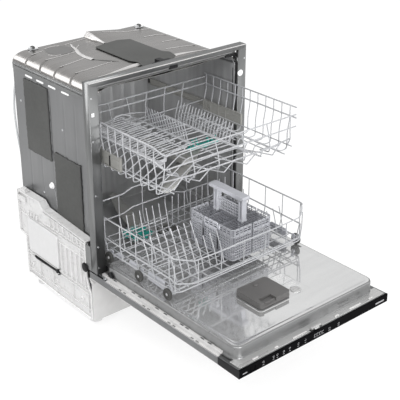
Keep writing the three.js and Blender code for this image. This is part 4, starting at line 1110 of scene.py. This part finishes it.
piece("roller_brackets", "lower_basket", brackets, LILAC, bevel=0.8)

# Cutlery basket: moulded lattice walls, black strips for the painted shade in its slots, six cells and a tall
# handle.
CX0, CX1, CY0, CY1, CZ0, CZ1 = -14, 146, -292, -96, 274, 378
CELL_YS = [CY0 + k * (CY1 - CY0) / 3 for k in (1, 2)]
MIDDLE_X = (CX0 + CX1) / 2
ROUND = 12                             # radius of the upright corners


def lattice(bar_at, length, height):
    """Upright and level bars of a flat wall; bar_at(u0, u1, v0, v1) makes one bar of it."""
    uprights = [(u - 0.8, u + 0.8, 0, height - 26) for u in spread(0, length, max(3, round(length / 6.5)))]
    uprights += [(u - 1.0, u + 1.0, height - 26, height) for u in
        spread(0, length, max(3, round(length / 13)))]
    levels = [(v - 0.8, v + 0.8) for v in [*spread(5, height - 30, 9), *spread(height - 20, height - 6, 3)]]
    levels += [(0, 3), (height - 27, height - 22), (height - 3, height)]
    return [bar_at(*u) for u in uprights] + [bar_at(0, length, *v) for v in levels]


def wall_x(x, y0, y1):
    return lattice(lambda a, b, c, d: box(x - 1, x + 1, y0 + a, y0 + b, CZ0 + c, CZ0 + d), y1 - y0, CZ1 - CZ0)


def wall_y(y, x0, x1):
    return lattice(lambda a, b, c, d: box(x0 + a, x0 + b, y - 1, y + 1, CZ0 + c, CZ0 + d), x1 - x0, CZ1 - CZ0)


walls = []
for x in (CX0 + 1.2, CX1 - 1.2):
    for k in range(3):
        y0 = CY0 + ROUND + k * (CY1 - CY0) / 3 - (ROUND - 4 if k else 0)
        y1 = CY0 + (k + 1) * (CY1 - CY0) / 3 - (ROUND if k == 2 else 4)
        walls += wall_x(x, y0, y1)
for y in (CY0 + 1.2, CY1 - 1.2):
    walls += wall_y(y, CX0 + ROUND, MIDDLE_X - 5) + wall_y(y, MIDDLE_X + 5, CX1 - ROUND)
for sx, cx in ((-1, CX0 + ROUND), (1, CX1 - ROUND)):
    for sy, cy in ((-1, CY0 + ROUND), (1, CY1 - ROUND)):
        arc = [(cx + sx * (ROUND - 1) * math.sin(a), cy + sy * (ROUND - 1) * math.cos(a))
               for a in spread(0, math.pi / 2, 5)]
        walls += [tube([(x, y, CZ0), (x, y, CZ1)], 1.0, 4) for x, y in arc]
        walls += [tube([(x, y, z) for x, y in arc], 1.3, 4)
                  for z in (CZ0 + 2, CZ0 + 24, CZ0 + 50, CZ1 - 25, CZ1 - 1.4)]
piece("cutlery_walls", "cutlery_basket", walls, LILAC, ["cutlery_basket"])
# Painted shade: the dividers and inner bars take the darker lilac copy for the shade inside the basket.
solid = [box(MIDDLE_X - 1, MIDDLE_X + 1, CY0 + 2, CY1 - 2, CZ0, CZ1 - 8)]
solid += [box(CX0 + 2, CX1 - 2, y - 1, y + 1, CZ0, CZ1 - 8) for y in CELL_YS]
solid += [box(CX0 + 3, CX1 - 3, y - 0.8, y + 0.8, CZ0 + 1, CZ0 + 2.6) for y in spread(CY0 + 8, CY1 - 8, 16)]
solid += [box(x - 0.8, x + 0.8, CY0 + 3, CY1 - 3, CZ0 + 1, CZ0 + 2.6) for x in spread(CX0 + 8, CX1 - 8, 13)]
solid += [box(x - 0.7, x + 0.7, CY0 + 4, CY1 - 4, CZ1 - 12, CZ1 - 10.4) for x in
    spread(CX0 + 10, CX1 - 10, 14)]
solid += [box(CX0 + 4, CX1 - 4, y - 0.7, y + 0.7, CZ1 - 12, CZ1 - 10.4) for y in
    spread(CY0 + 10, CY1 - 10, 18)]
solid += [box(x, x + 3, y - 5, y + 5, CZ0, CZ1 - 20) for y in CELL_YS for x in (CX0 - 1, CX1 - 2)]
piece("cutlery_inside", "cutlery_basket", solid, LILAC_SHADE, bevel=0)
# Painted shade: thin black strips for the dark inside the slots of the outer walls.
slots = [box(x - 0.3, x + 0.3, y - 2, y + 2, CZ0 + 18, CZ0 + 64) for y in CELL_YS for x in
    (CX0 - 1.2, CX1 + 1.2)]
piece("cutlery_slot_shade", "cutlery_basket", slots, BLACK_SHADE)
HANDLE_Z = 452


def handle_bar(half, y0, y1, z0, z1):
    return box(MIDDLE_X - half, MIDDLE_X + half, y0, y1, z0, z1)


grip = [(CY0 + 32, HANDLE_Z), (CY0 + 29, HANDLE_Z - 4), (CY0 + 31, HANDLE_Z - 12), (CY1 - 15, HANDLE_Z - 12),
        (CY1 - 13, HANDLE_Z - 4), (CY1 - 16, HANDLE_Z)]
handle = [prism(grip, "x", MIDDLE_X - 15, MIDDLE_X + 15)]
for y in (CY0 + 46, CY1 - 38):
    handle += [handle_bar(9, y - 9, y - 4, CZ1 - 60, HANDLE_Z - 10),
               handle_bar(9, y + 4, y + 9, CZ1 - 60, HANDLE_Z - 10),
               handle_bar(3, y - 6, y + 6, CZ1 - 60, HANDLE_Z - 22),
               handle_bar(11, y - 10, y + 10, CZ1 - 10, CZ1 - 4)]
handle += [handle_bar(1, y - 0.8, y + 0.8, CZ1 - 14, HANDLE_Z - 40) for y in spread(CY0 + 62, CY1 - 54, 12)]
handle.append(handle_bar(1, CY0 + 50, CY1 - 42, HANDLE_Z - 42, HANDLE_Z - 38))
handle += [handle_bar(1, CY0 + 50, CY1 - 42, z - 0.8, z + 0.8) for z in spread(CZ1 - 4, HANDLE_Z - 48, 4)]
piece("cutlery_handle", "cutlery_basket", handle, LILAC, bevel=1.4)


# ---------------------------------------------------------------- height adjusters and rails
def adjuster(side):
    """A beam under the rim with ribs, a boss and a rail block; the left one reaches further forward."""
    def deep(d):
        return side * (254.4 - d)

    front = -78 if side < 0 else -36
    parts = [box(deep(0), deep(5.6), front, 148, 566, 600)]
    parts += [box(deep(-0.2), deep(6.4), front + 4, 144, z - 2.4, z + 1.0) for z in (563, 603)]
    parts += [box(deep(-0.6), deep(6.6), y - 1.6, y + 1.6, 562, 603) for y in spread(front + 2, 146, 6)]
    brace = [(front + 42, 590), (front + 98, 582), (front + 98, 577), (front + 42, 585)]
    boss = lathe([(0, 6), (7, 6), (8.5, 4.5), (8.5, 0)], (side * 246.5, 120, 585), "x", 20)
    parts += [box(deep(-1.2), deep(6.8), front + 8, front + 40, 574, 594),
        prism(brace, "x", deep(-0.8), deep(6)), box(side * 253.4, side * 259.2, 52, 144, 577, 593), boss]
    # Painted shade: a thin black sheet for the dark inside a slot in the beam.
    dark_slot = box(side * 255.2, side * 256, -30, -24, 566, 598)
    return [(*part, 0) for part in parts] + [(*dark_slot, 1)]


def rail_run(side):
    """An open channel along the tub wall with a black block at each end."""
    def deep(d):
        return side * (262.4 - d)

    channel = [(deep(0), 574), (deep(0), 596), (deep(6), 596), (deep(6.4), 594.4), (deep(6.0), 593.2),
               (deep(1.3), 594.6), (deep(1.3), 575.4), (deep(6.0), 576.8), (deep(6.4), 575.6), (deep(6), 574)]
    blocks = [(*box(deep(0.2), deep(2.6), y, y + 9, 572.5, 597.5), 1) for y in (16.5, 448)]
    return [(*prism(channel, "y", 20, 455), 0)] + blocks


for side, word in ((-1, "left"), (1, "right")):
    piece(f"adjuster_{word}", "upper_basket", adjuster(side), [BEIGE, BLACK], [f"height_adjuster_{word}"],
        bevel=0.9)
    piece(f"rail_run_{word}", "cabinet", rail_run(side), [BEIGE, BLACK], [f"rail_{word}"], bevel=0.4)
piece("adjuster_trim", "upper_basket", [box(252.6, 256, 148.5, 151, 564, 606)], BEIGE, bevel=0.6)

# ---------------------------------------------------------------- spray arms
REACH, SHORT = 150, 190                # hub to satellite, hub to the free end


def level_axes(turn):
    """Unit vectors along and across a blade turned by so many degrees from the x axis."""
    a = math.radians(turn)
    return Vector((math.cos(a), math.sin(a), 0)), Vector((-math.sin(a), math.cos(a), 0))


def satellite_centre(hub, turn, z):
    along, across = level_axes(turn)
    centre = Vector(hub) + along * REACH - across * 10
    return Vector((centre.x, centre.y, z))


# Outline across an arm: share of its half width, height over its underside.
ARM_SECTION = [(-1, 2.2), (-0.94, 0.2), (0.94, 0.2), (1, 2.2), (0.96, 5.4), (0.62, 8.6), (0.2, 9.9),
               (-0.2, 9.9), (-0.62, 8.6), (-0.96, 5.4)]


def spray_arm(hub, turn, name, body):
    """A hollow blade whose deck has a crest rising along the middle; jets sit in small collars."""
    ax, side = level_axes(turn)
    hub = Vector(hub)
    loops = []
    for t in spread(-SHORT, REACH - 14, 30):
        end = 1 - max(0.0, (abs(t) - (SHORT - 22 if t < 0 else REACH - 20)) / 24) ** 2
        w = (27 - 9 * smooth(30, 150, abs(t))) * math.sqrt(max(0.03, end))
        sway = 12 * math.sin(t / 120)
        c = hub + ax * t + side * sway
        loops.append([c + side * (w * u) + Vector((0, 0, 3 + v)) for u, v in ARM_SECTION])
    parts = [(*rings(loops), 0)]
    parts.append((*lathe([(0, 17), (9, 17), (11, 15.6), (12, 13.6), (19, 12.4), (22, 10), (23.6, 6),
        (23.6, 1), (21, 0), (0, 0)], hub, "z", 32), 0))
    for k, t in enumerate((-170, -146, -118, -90, -62, 52, 76, 100)):
        c = hub + ax * t + side * (12 * math.sin(t / 120) + (8 if k % 2 else -8))
        parts.append((*lathe([(0, 11.4), (1.6, 11.4), (1.8, 12.8), (4.2, 12.8), (4.8, 11), (4.8, 9)], c,
            "z", 14), 0))
        # Painted shade: a black disc in each collar for the dark inside the jet's hole.
        parts.append((*lathe([(0, 11.5), (1.5, 11.5), (1.5, 11)], c, "z", 10), 1))
    piece(name, body, parts, [ARM, BLACK], [body])


LOWER_HUB, UPPER_HUB = (0, 240, 209), (0, -50, 494)
LOWER_TURN, UPPER_TURN = -113, 30
spray_arm(LOWER_HUB, LOWER_TURN, "spray_arm_low", "lower_spray_arm")
spray_arm(UPPER_HUB, UPPER_TURN, "spray_arm_high", "upper_spray_arm")


def fan_blade(c, name, body):
    """The small upper satellite: a bent blade with upright fins along its back edge."""
    ax, side = level_axes(-8)
    loops = []
    for t in spread(-62, 62, 22):
        w = (15 - 6 * smooth(15, 62, abs(t))) * math.sqrt(max(0.06, 1 - (t / 64) ** 6))
        mid = c + ax * t + side * (5 * math.sin(t / 34))
        loops.append([mid + side * (w * u) + Vector((0, 0, v)) for u, v in (
            (-1, 1), (-0.9, 0), (0.9, 0), (1, 1), (0.9, 4.5), (0.3, 6.2), (-0.3, 6.2), (-0.9, 4.5))])
    parts = [rings(loops), lathe([(0, 8.2), (8, 8.2), (10, 7), (14.5, 5.6), (16.6, 3.4), (16.8, 0.8),
        (14, 0), (0, 0)], c, "z", 24)]
    for t in spread(-52, 52, 8):
        if abs(t) > 12:
            mid = c + ax * t + side * (5 * math.sin(t / 34) + 4)
            fin = [(mid + ax * dx + side * dy + Vector((0, 0, dz))) for dx in (-1.3, 1.3)
                   for dy, dz in ((-7, 4), (7, 4), (10, 24), (3, 28), (-5, 18))]
            sides = [(i, (i + 1) % 5, (i + 1) % 5 + 5, i + 5) for i in range(5)]
            parts.append((fin, [(0, 1, 2, 3, 4), (9, 8, 7, 6, 5)] + sides))
    piece(name, body, parts, TEAL, [body], bevel=0.5)


def star_wheel(c, name, body):
    """The lower satellite: round lobes on short spokes about a collar."""
    parts = [lathe([(0, 8), (7, 8), (9, 7), (12, 6), (16, 5.4), (17, 3), (16.5, 0.6), (14, 0), (0, 0)], c,
        "z", 24)]
    for k in range(7):
        b = 2 * math.pi * k / 7 + 0.3
        d = Vector((math.cos(b), math.sin(b), 0))
        lobe_at = c + d * (36 if k % 2 else 41)
        parts.append(lathe([(0, 9), (4, 9), (9, 7.6), (12.4, 5.4), (13, 3), (12, 0.8), (9, 0), (0, 0)],
            lobe_at, "z", 18))
        side = Vector((-d.y, d.x, 0))
        spoke = [c + d * u + side * v + Vector((0, 0, w)) for u in (12, 34) for v in (-4.5, 4.5) for w in
            (0.6, 5.6)]
        parts.append((spoke, BOX_FACES))
        parts.append(lathe([(0, 11), (2.2, 11), (3.4, 9.6), (3.4, 7)], lobe_at, "z", 12))
    rim = [c + Vector((30 * math.cos(t), 30 * math.sin(t), 3)) for t in turns(40)]
    parts.append(tube(rim, 2.6, 8, closed=True))
    piece(name, body, parts, TEAL, [body], bevel=0.5)


star_wheel(satellite_centre(LOWER_HUB, LOWER_TURN, 225.4), "satellite_low", "lower_satellite")
fan_blade(satellite_centre(UPPER_HUB, UPPER_TURN, 510.2), "satellite_high", "upper_satellite")

# ---------------------------------------------------------------- solids shown as they are
cad_looks = {
    "tub_floor": STEEL_IN, "plinth_panel": PLINTH, "circulation_pump": PUMP, "drain_pump": BLACK, "sump": BLACK,
    "softener": TRAY, "rear_hose": HOSE, "upper_feed_spout": ARM, "upper_water_pipe": ARM,
    "filter_cylinder": ARM, "salt_cap": LILAC, "hinge_plate_left": STEEL_BRIGHT,
    "hinge_plate_right": STEEL_BRIGHT}
cad_looks.update({f"foot_{end}_{word}": TRAY_SHEET for end in ("front", "rear") for word in ("left", "right")})
for name, look in cad_looks.items():
    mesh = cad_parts[name].data
    mesh.materials.clear()
    mesh.materials.append(look)
